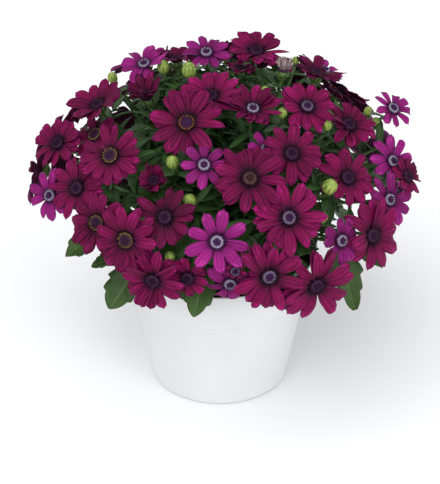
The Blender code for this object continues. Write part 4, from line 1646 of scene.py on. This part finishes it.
@dataclass
class LeafShape:
    """Measures of a toothed, fleshy leaf."""

    rows: int = 8
    columns: int = 2
    thickness: float = 0.5
    teeth: int = 3

    def half_width(self, share: float) -> float:
        """Half the leaf's width at a share of its length, teeth included.

        Args:
            share: Share of the length, from 0 at the root to 1 at the tip.

        Returns:
            The half width.
        """
        body = math.sin(math.pi * min(share**0.85, 1.0)) ** 0.75 if 0 < share < 1 else 0.0
        tooth = (share * (self.teeth + 1) + 0.1) % 1.0
        cut = 0.24 * (1 - tooth) * (0.2 < share < 0.93)
        return max(body * (1 - cut), 0.05 + 0.05 * (1 - share))

    def lay(self, sheet: Sheet, place: LeafPlace, draw: random.Random, fine: bool) -> None:
        """Lays one leaf into a sheet.

        Args:
            sheet: The sheet that takes it.
            place: Where it goes.
            draw: The source of its small differences.
            fine: Whether it gets more faces.
        """
        along = place.aim.normalized()
        across = along.cross(place.normal).normalized()
        up = across.cross(along).normalized()
        fold = draw.uniform(0.08, 0.3)
        wave = draw.uniform(0, math.tau)
        sway = draw.uniform(-0.12, 0.12)

        def shape(share: float, side: float) -> Vector:
            """The leaf's point at a share along and across.

            Args:
                share: Share of the length.
                side: Place across, from -1 to 1.

            Returns:
                The point.
            """
            wide = place.width * 0.5 * self.half_width(share)
            line = along * place.length * share + across * place.length * sway * share * share
            drop = -place.bow * place.length * share * share
            rise = wide * fold * (abs(side) - 0.5)
            ripple = 0.05 * place.width * side * math.sin(share * 8 + wave)
            crease = -0.35 * max(0.0, 1 - abs(side) * 4)
            return place.root + line + across * side * wide + up * (drop + rise + ripple + crease)

        rows = self.rows * 3 if fine else self.rows
        columns = self.columns * 3 if fine else self.columns
        sheet.blade(rows, columns, shape, self.thickness, draw.uniform(-1, 1))

    def probe(self, place: LeafPlace) -> BVHTree:
        """A coarse copy of a leaf, to test for room.

        Args:
            place: Where the leaf goes.

        Returns:
            The copy as a tree.
        """
        along = place.aim.normalized()
        across = along.cross(place.normal).normalized()
        up = across.cross(along)
        points = []
        for share, wide in ((0.08, 0.1), (0.45, 0.5), (0.75, 0.4), (1.0, 0.05)):
            middle = place.root + along * place.length * share
            middle = middle - up * place.bow * place.length * share * share
            for side in (-1, 1):
                points.append(tuple(middle + across * side * place.width * wide))
        faces = [(0, 1, 3, 2), (2, 3, 5, 4), (4, 5, 7, 6)]
        return BVHTree.FromPolygons(points, faces)


@dataclass
class Foliage:
    """Five leafy stems with their stalks, leaves and buds."""

    dome: Dome
    stems: int = 5
    ring: float = 17.0
    soil_top: float = 101.0
    hole_depth: float = 26.0
    stem_radius: float = 3.2
    limb_radius: float = 2.5
    stalk_radius: float = 1.15
    bloom_neck: float = 1.4
    bud_neck: float = 1.2
    leaf_neck: float = 0.9
    leaf: LeafShape = field(default_factory=LeafShape)
    per_stalk: int = 12
    per_back_stalk: int = 19
    per_limb: int = 22
    per_low_limb: int = 34
    limb_leaf: float = 1.25
    low_limb_leaf: float = 1.7
    leaf_lengths: tuple[float, float] = (18.0, 34.0)
    leaf_shares: tuple[float, float] = (0.26, 0.38)
    leaf_bows: tuple[float, float] = (0.05, 0.35)
    tries: int = 6
    bud_scale: float = 0.72
    bracts: int = 9
    rim_forward: float = 4.0
    rim_width: float = 0.76
    back_rim_leaves: int = 7

    def limbs(self, sector: int) -> tuple[list[Vector], list[Vector]]:
        """Middle lines of the high and the low limb of one stem.

        Args:
            sector: The stem's number.

        Returns:
            Corner points of both.
        """
        turn = math.tau * (sector + 0.25) / self.stems
        out = Vector((math.cos(turn), math.sin(turn), 0.0))
        foot, top = self.soil_top - self.hole_depth + 2.0, self.soil_top
        high = ((0, foot), (0, top + 6), (6, 134), (13, 170), (20, 205))
        low = ((1, top + 12), (22, 129), (52, 140))
        return (
            [out * (self.ring + aside) + UP * height for aside, height in high],
            [out * (self.ring + aside) + UP * height for aside, height in low],
        )

    def sector(self, point: Vector) -> int:
        """The stem that a point belongs to."""
        turn = math.atan2(point.y, point.x) / math.tau * self.stems - 0.25
        return round(turn) % self.stems

    @staticmethod
    def along(line: Sequence[Vector], share: float) -> Vector:
        """The point at a share of a line's length.

        Args:
            line: The line's corner points.
            share: Share of its length.

        Returns:
            The point.
        """
        steps = [(two - one).length for one, two in zip(line, line[1:])]
        left = sum(steps) * share
        for one, two, step in zip(line, line[1:], steps):
            if left <= step:
                return one.lerp(two, left / step)
            left -= step
        return line[-1]

    def join(self, stalks: list[Stalk]) -> None:
        """Gives every stalk its own place on its stem, the steeper ones higher up.

        Args:
            stalks: All stalks.
        """
        for sector in range(self.stems):
            high, low = self.limbs(sector)
            own = [stalk for stalk in stalks if self.sector(stalk.tip) == sector]
            own.sort(key=lambda stalk: (stalk.steepness(), stalk.name))
            flat = [stalk for stalk in own if stalk.tip.z < stalk.low_limit]
            steep = [stalk for stalk in own if stalk.tip.z >= stalk.low_limit]
            for index, stalk in enumerate(flat):
                stalk.joint = self.along(low, 0.99 - 0.62 * index / max(len(flat), 1))
            for index, stalk in enumerate(steep):
                stalk.joint = self.along(high, 0.42 + 0.57 * (index + 0.5) / len(steep))

    def bloom_stalks(self, blooms: list[Bloom]) -> list[Stalk]:
        """The stalks of all blooms.

        Args:
            blooms: All blooms.

        Returns:
            One stalk for each bloom.
        """
        return [
            Stalk("%s %d" % (bloom.node, index), bloom.centre, bloom.axis, 2.5, 8.0, self.dome)
            for index, bloom in enumerate(blooms)
        ]

    def bud_stalks(self) -> list[tuple[Stalk, float]]:
        """The stalks of all buds, with each bud's radius.

        Returns:
            Pairs of a stalk and a radius.
        """
        made = []
        for name, (x, y, size, lift) in BUDS.items():
            point = self.dome.seen_at(x, y, lift)
            facing = (self.dome.normal(point) + UP * 0.5).normalized()
            size *= self.bud_scale
            made.append((Stalk("bud_" + name, point, facing, size * 0.9, 8.0, self.dome), size))
        return made

    def rim_leaves(self) -> list[tuple[Stalk, LeafPlace]]:
        """The stalks and places of the leaves that hang round the rim.

        Returns:
            Pairs of a stalk and a place.
        """
        places = []
        for name, (x, y, tip_x, tip_y, wide, depth) in RIM_LEAVES.items():
            base = self.dome.seen_at(x, y, -depth)
            tip = self.dome.level_with(tip_x, tip_y, base, self.rim_forward)
            places.append((name, base, tip, wide * self.rim_width))
        draw = random.Random("leaves round the rim")
        for index in range(self.back_rim_leaves):
            turn = math.pi * (index + 0.5) / self.back_rim_leaves + draw.uniform(-0.15, 0.15)
            out = Vector((math.cos(turn), math.sin(turn), 0.0))
            base = out * 108 + UP * (126 + draw.uniform(-4, 6))
            tip = out * 126 + UP * (92 + draw.uniform(-4, 8))
            places.append(("back_%d" % index, base, tip, 22 + draw.uniform(-3, 5)))
        made = []
        for name, base, tip, width in places:
            along = (tip - base).normalized()
            facing = (along * 0.2 + self.dome.normal(base) * 0.9).normalized()
            stalk = Stalk("leaf_" + name, base, facing, 0.0, 10.0, self.dome)
            outward = Vector((base.x, base.y, 0.0)).normalized()
            normal = outward * 0.8 + UP * 0.6
            place = LeafPlace(base, tip - base, normal, (tip - base).length, width * 1.12, 0.06)
            made.append((stalk, place))
        return made

    def tube_of(self, stalk: Stalk, top: float) -> tuple[list[Vector], list[float]]:
        """A stalk's smooth line with its radii.

        Args:
            stalk: The stalk.
            top: Its radius under what it carries.

        Returns:
            The line's points and their radii.
        """
        line = smooth_line(stalk.line(), 5)
        count = len(line)
        thin = self.stalk_radius
        radii = [top + (thin - top) * min(index / 4, 1.0) for index in range(count)]
        radii = [radius + 0.5 * (index / count) ** 2 for index, radius in enumerate(radii)]
        return line, radii

    def plant(
        self,
        points: Sequence[Vector],
        count: int,
        size: float,
        draw: random.Random,
        walls: list[BVHTree],
    ) -> list[LeafPlace]:
        """Places leaves along a stalk or limb where there is room.

        Args:
            points: The stalk's corner points, whichever end comes first.
            count: How many leaves to try.
            size: Factor on the leaves' size.
            draw: The source of the leaves' differences.
            walls: What the leaves stay out of.

        Returns:
            The leaves' places.
        """
        line = smooth_line(points, 5)
        ahead = (points[0] - points[-1]).normalized()
        if ahead.z < 0:
            ahead = -ahead
        found = []
        for index in range(count):
            root = self.along(line, 0.1 + 0.82 * (index + draw.uniform(0, 0.8)) / count)
            for _ in range(self.tries):
                side = Vector((draw.uniform(-1, 1), draw.uniform(-1, 1), draw.uniform(-0.3, 0.6)))
                aim = (side.normalized() + ahead * draw.uniform(0.1, 0.8)).normalized()
                normal = (UP + self.dome.normal(root) * 0.8 - aim * 0.2).normalized()
                length = draw.uniform(*self.leaf_lengths) * size
                width = length * draw.uniform(*self.leaf_shares)
                bow = draw.uniform(*self.leaf_bows)
                place = LeafPlace(root, aim, normal, length, width, bow)
                if self.dome.outside(root + aim * length):
                    continue
                probe = self.leaf.probe(place)
                if not any(probe.overlap(wall) for wall in walls):
                    found.append(place)
                    break
        return found

    def leaf_out(
        self,
        sheet: Sheet,
        points: Sequence[Vector],
        count: int,
        size: float,
        draw: random.Random,
        walls: list[BVHTree],
    ) -> None:
        """Lays the narrow leaves of a stalk or limb into a sheet.

        Args:
            sheet: The sheet that takes them.
            points: The stalk's corner points.
            count: How many leaves to try.
            size: Factor on the leaves' size.
            draw: The source of the leaves' differences.
            walls: What the leaves stay out of.
        """
        for place in self.plant(points, count, size, draw, walls):
            self.leaf.lay(sheet, place, draw, False)

    def leaf_count(self, stalk: Stalk) -> int:
        """How many leaves a stalk tries, with more on the guessed back."""
        return self.per_stalk if stalk.tip.y < 0 else self.per_back_stalk

    def bud(
        self, sheet: Sheet, centre: Vector, axis: Vector, size: float, draw: random.Random
    ) -> None:
        """Lays one closed bud with its bracts into a sheet.

        Args:
            sheet: The sheet that takes it.
            centre: The bud's middle.
            axis: The way that it faces.
            size: Its radius.
            draw: The source of the bracts' small differences.
        """
        turn = axis.to_track_quat("Z", "Y").to_matrix().to_4x4()
        place = Matrix.Translation(centre) @ turn
        shape = place @ Matrix.Diagonal((size * 0.92, size * 0.92, size * 1.2, 1.0))
        bmesh.ops.create_uvsphere(
            sheet.mesh, u_segments=14, v_segments=9, radius=1.0, matrix=shape
        )
        for index in range(self.bracts):
            angle = math.tau * (index + draw.uniform(-0.1, 0.1)) / self.bracts
            out = turn.to_3x3() @ Vector((math.cos(angle), math.sin(angle), 0))
            side = axis.cross(out)

            def bract(share: float, across: float) -> Vector:
                """The bract's point at a share along and across.

                Args:
                    share: Share of the length.
                    across: Place across, from -1 to 1.

                Returns:
                    The point.
                """
                tilt = -1.25 + share * 2.3
                ring = out * size * 1.0 * math.cos(tilt) + axis * size * 1.28 * math.sin(tilt)
                wide = size * 0.34 * math.sin(math.pi * (0.2 + share * 0.77))
                return centre + ring * 1.03 + side * across * wide

            sheet.blade(5, 2, bract, 0.3, draw.uniform(-1, 1))

    def build(self, blooms: list[Bloom], walls: list[BVHTree], finishes: Finishes) -> None:
        """Builds stems, leaves and buds, one piece of each for a leafy stem.

        Args:
            blooms: All blooms.
            walls: What the leaves stay out of.
            finishes: The materials.
        """
        carried = self.bloom_stalks(blooms)
        buds = self.bud_stalks()
        hanging = self.rim_leaves()
        stalks = carried + [stalk for stalk, _ in buds] + [stalk for stalk, _ in hanging]
        self.join(stalks)
        for sector in range(self.stems):
            draw = random.Random("foliage %d" % sector)
            high, low = self.limbs(sector)
            thick = [self.stem_radius * (1 - 0.02 * step) for step in range(21)]
            thin = [self.limb_radius - 0.06 * step for step in range(11)]
            lines = [(smooth_line(high, 5), thick), (smooth_line(low, 5), thin)]
            leaves, broad, knobs = Sheet(), Sheet(), Sheet()
            self.leaf_out(leaves, high, self.per_limb, self.limb_leaf, draw, walls)
            self.leaf_out(leaves, low, self.per_low_limb, self.low_limb_leaf, draw, walls)
            for stalk in carried:
                if self.sector(stalk.tip) == sector:
                    lines.append(self.tube_of(stalk, self.bloom_neck))
                    self.leaf_out(leaves, stalk.line(), self.leaf_count(stalk), 1.0, draw, walls)
            for stalk, size in buds:
                if self.sector(stalk.tip) == sector:
                    lines.append(self.tube_of(stalk, self.bud_neck))
                    self.bud(knobs, stalk.tip, stalk.facing, size, draw)
                    self.leaf_out(leaves, stalk.line(), self.leaf_count(stalk), 1.0, draw, walls)
            for stalk, place in hanging:
                if self.sector(stalk.tip) == sector:
                    lines.append(self.tube_of(stalk, self.leaf_neck))
                    self.leaf.lay(broad, place, draw, True)
            name = "leafy_stem_%d" % sector
            stems = mesh_piece(tubes(lines, 1), name + "_stalks")
            hand_over(stems, finishes.get(STALK), Slot.FOLIAGE, [name])
            hand_over(mesh_piece(leaves.mesh, name + "_leaves"), finishes.get(LEAF), Slot.FOLIAGE)
            if broad.mesh.verts:
                rim = mesh_piece(broad.mesh, name + "_rim_leaves")
                hand_over(rim, finishes.get(BROAD_LEAF), Slot.FOLIAGE)
            if knobs.mesh.verts:
                hand_over(mesh_piece(knobs.mesh, name + "_buds"), finishes.get(BUD), Slot.FOLIAGE)


# Pot and soil


@dataclass
class Pot:
    """The tapered nursery pot with its collar and drain holes."""

    height: float = 114.0
    base: float = 54.0
    taper: float = 0.194
    wall: float = 2.0
    floor: float = 3.0
    collar: float = 82.0
    step: float = 1.3
    holes: int = 4
    hole_radius: float = 5.0
    hole_ring: float = 27.0
    segments: int = 120

    def radius(self, z: float) -> float:
        """The outer radius at a height."""
        return self.base + self.taper * z

    def profile(self) -> list[tuple[float, float]]:
        """Radius and height of the wall's section, from the inner floor out and round.

        Returns:
            The section's corners in order.
        """
        edge = [
            (self.base - 3.0 + 3.0 * math.sin(turn), 3.0 - 3.0 * math.cos(turn))
            for turn in (math.pi / 2 * index / 5 for index in range(6))
        ]
        lip = self.radius(self.height)
        crown = [
            (lip - 1.0 + 1.0 * math.cos(turn), self.height - 1.0 + 1.0 * math.sin(turn))
            for turn in (math.pi * index / 6 for index in range(7))
        ]
        collar = self.radius(self.collar)
        return [
            (0.0, 0.0),
            *edge,
            (self.radius(self.collar - 1.6) - self.step, self.collar - 1.6),
            (collar - self.step + 0.2, self.collar - 0.9),
            (collar - 0.3, self.collar - 0.35),
            (collar, self.collar + 0.3),
            *crown,
            (self.radius(self.collar) - self.wall - 0.6, self.collar),
            (self.radius(self.floor + 2) - self.wall, self.floor + 2),
            (self.radius(self.floor) - self.wall - 2, self.floor),
            (0.0, self.floor),
        ]

    def build(self, finishes: Finishes) -> None:
        """Turns the wall, drills the base and dresses the pot.

        Args:
            finishes: The materials.
        """
        shell = spun(self.profile(), self.segments)
        bmesh.ops.recalc_face_normals(shell, faces=shell.faces[:])
        piece = mesh_piece(shell, "pot_shell")
        drill = bmesh.new()
        for index in range(self.holes):
            turn = math.tau * (index + 0.5) / self.holes
            place = Vector((math.cos(turn), math.sin(turn), 0)) * self.hole_ring
            bmesh.ops.create_cone(
                drill,
                cap_ends=True,
                segments=32,
                radius1=self.hole_radius,
                radius2=self.hole_radius,
                depth=self.floor * 4,
                matrix=Matrix.Translation(place),
            )
        tool = mesh_piece(drill, "pot_drill")
        cut = piece.modifiers.new("Drain holes", "BOOLEAN")
        cut.object = tool
        cut.solver = "EXACT"
        graph = bpy.context.evaluated_depsgraph_get()
        piece.data = bpy.data.meshes.new_from_object(piece.evaluated_get(graph))
        piece.modifiers.clear()
        bpy.data.objects.remove(tool)
        piece.data.set_sharp_from_angle(angle=math.radians(40))
        hand_over(piece, finishes.get(POT), Slot.POT, ["pot"])


@dataclass
class Soil:
    """Potting mix that fills the pot, with a crumbly top."""

    top: float = 101.0
    gap: float = 0.4
    rings: int = 26
    segments: int = 90
    crumbs: int = 260

    def build(self, pot: Pot, finishes: Finishes) -> None:
        """Turns the plug, roughens its top and scatters crumbs on it.

        Args:
            pot: The pot that holds it.
            finishes: The materials.
        """
        inset = pot.wall + self.gap
        wide = pot.radius(self.top) - inset - 1.0
        profile = [(wide * index / self.rings, self.top) for index in range(self.rings + 1)]
        profile += [
            (pot.radius(pot.collar) - inset - 0.6, pot.collar),
            (pot.radius(pot.floor + 3) - inset, pot.floor + 3),
            (0.0, pot.floor + self.gap),
        ]
        made = spun(profile, self.segments)
        for corner in made.verts:
            if corner.co.z > self.top - 0.1:
                lumps = 1.6 * noise.noise(corner.co * 0.16)
                corner.co.z += lumps + 0.8 * noise.noise(corner.co * 0.5)
        draw = random.Random("crumbs")
        for _ in range(self.crumbs):
            turn = draw.uniform(0, math.tau)
            reach = wide * 0.94 * math.sqrt(draw.random())
            place = Vector((reach * math.cos(turn), reach * math.sin(turn), self.top + 0.6))
            size = draw.uniform(0.8, 2.4)
            spin = Matrix.Rotation(draw.uniform(0, math.tau), 4, "XYZ"[draw.randrange(3)])
            shape = Matrix.Diagonal((size, size * draw.uniform(0.5, 1), size * 0.6, 1.0))
            bmesh.ops.create_icosphere(
                made, subdivisions=1, radius=1.0, matrix=Matrix.Translation(place) @ spin @ shape
            )
        bmesh.ops.recalc_face_normals(made, faces=made.faces[:])
        piece = mesh_piece(made, "soil_fill")
        hand_over(piece, finishes.get(SOIL), Slot.SOIL, ["soil"])


# Stage


@dataclass
class Studio:
    """The floor, the lights and the camera."""

    dome: Dome
    floor_size: float = 7.0
    floor_bend: float = 3.0
    floor_segments: int = 48
    sensor: float = 36.0

    def floor(self) -> None:
        """Lays a plain pale round floor that rises far away on every side."""
        reach = self.floor_size
        bend = [
            (reach + self.floor_bend * math.sin(turn), self.floor_bend * (1 - math.cos(turn)))
            for turn in (math.pi / 2 * step / 6 for step in range(7))
        ]
        made = spun([(0.0, 0.0), *bend], self.floor_segments)
        bmesh.ops.recalc_face_normals(made, faces=made.faces[:])
        if max(made.faces, key=lambda face: -face.calc_center_median().z).normal.z < 0:
            bmesh.ops.reverse_faces(made, faces=made.faces[:])
        bmesh.ops.scale(made, vec=(1 / MM,) * 3, verts=made.verts[:])
        floor = mesh_piece(made, "floor")
        board = Board("pale floor")
        board.feed(Base_Color=(0.86, 0.86, 0.87), Roughness=0.9)
        floor.data.materials.append(board.material)

    @staticmethod
    def light(name: str, kind: str, place: Sequence[float], power: float, soft: float) -> None:
        """Adds one soft light aimed at the plant.

        Args:
            name: The light's name.
            kind: SUN or AREA.
            place: Where it stands.
            power: Its strength.
            soft: A sun's angle in radians or an area's width in metres.
        """
        data = bpy.data.lights.new(name, kind)
        data.energy = power
        if kind == "SUN":
            data.angle = soft
        else:
            data.shape = "DISK"
            data.size = soft
        lamp = bpy.data.objects.new(name, data)
        bpy.context.scene.collection.objects.link(lamp)
        lamp.location = place
        aim = Vector((0.0, 0.0, 0.15)) - Vector(place)
        lamp.rotation_euler = aim.to_track_quat("-Z", "Y").to_euler()

    def lights(self) -> None:
        """Lights the scene softly from the upper left."""
        world = bpy.data.worlds.new("studio air")
        world.use_nodes = True
        world.node_tree.nodes["Background"].inputs["Color"].default_value = (0.97, 0.98, 1.0, 1.0)
        world.node_tree.nodes["Background"].inputs["Strength"].default_value = 0.72
        bpy.context.scene.world = world
        bpy.context.scene.view_settings.view_transform = "Standard"
        self.light("key", "SUN", (-0.95, -1.35, 2.2), 2.0, 1.1)
        self.light("fill", "AREA", (1.5, -1.6, 0.9), 19.0, 1.4)

    def camera(self) -> None:
        """Sets the camera to the photograph's viewing angle."""
        back, _ = self.dome.view()
        data = bpy.data.cameras.new("camera")
        data.sensor_width = self.sensor
        data.sensor_fit = "HORIZONTAL"
        data.lens = self.sensor * self.dome.focal / PICTURE_WIDTH
        data.clip_end = 20.0
        camera = bpy.data.objects.new("camera", data)
        bpy.context.scene.collection.objects.link(camera)
        aim = UP * self.dome.aim * MM
        camera.location = aim + back * self.dome.distance * MM
        camera.rotation_euler = (-back).to_track_quat("-Z", "Y").to_euler()
        data.shift_x = (PICTURE_WIDTH / 2 - self.dome.middle_x) / PICTURE_WIDTH
        bpy.context.scene.camera = camera


def walls_of(frame: dict[str, Any], nodes: Iterable[str]) -> list[BVHTree]:
    """Trees of the frame nodes that leaves stay out of, in millimetres.

    Args:
        frame: The loaded frame.
        nodes: Names of the nodes.

    Returns:
        One tree for each node.
    """
    found = []
    for node in nodes:
        data = frame["nodes"][node].data
        points = [tuple(corner.co / MM) for corner in data.vertices]
        faces = [tuple(face.vertices) for face in data.polygons]
        found.append(BVHTree.FromPolygons(points, faces))
    return found


def main() -> None:
    """Builds every piece around the frame, in order."""
    logging.basicConfig(level=logging.INFO, format="%(message)s")
    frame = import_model()
    slots = {part["node"]: part["material_slot"] for part in frame["record"]["subparts"]}
    reader = BloomReader()
    names = [node for node in sorted(frame["nodes"]) if node.startswith(("bloom", "spray"))]
    blooms = {node: reader.read(node, frame["nodes"][node]) for node in names}
    for node, found in blooms.items():
        if not found:
            LOG.warning("no bloom read from %s", node)
    every = [bloom for found in blooms.values() for bloom in found]
    LOG.info("%d blooms in %d nodes", len(every), len(names))

    finishes = Finishes()
    dome = Dome()
    BloomBed().build(blooms, slots, finishes)
    Foliage(dome).build(every, walls_of(frame, [*names, "pot", "soil"]), finishes)
    pot = Pot()
    pot.build(finishes)
    Soil().build(pot, finishes)
    studio = Studio(dome)
    studio.floor()
    studio.lights()
    studio.camera()


if __name__ == "__main__":
    main()
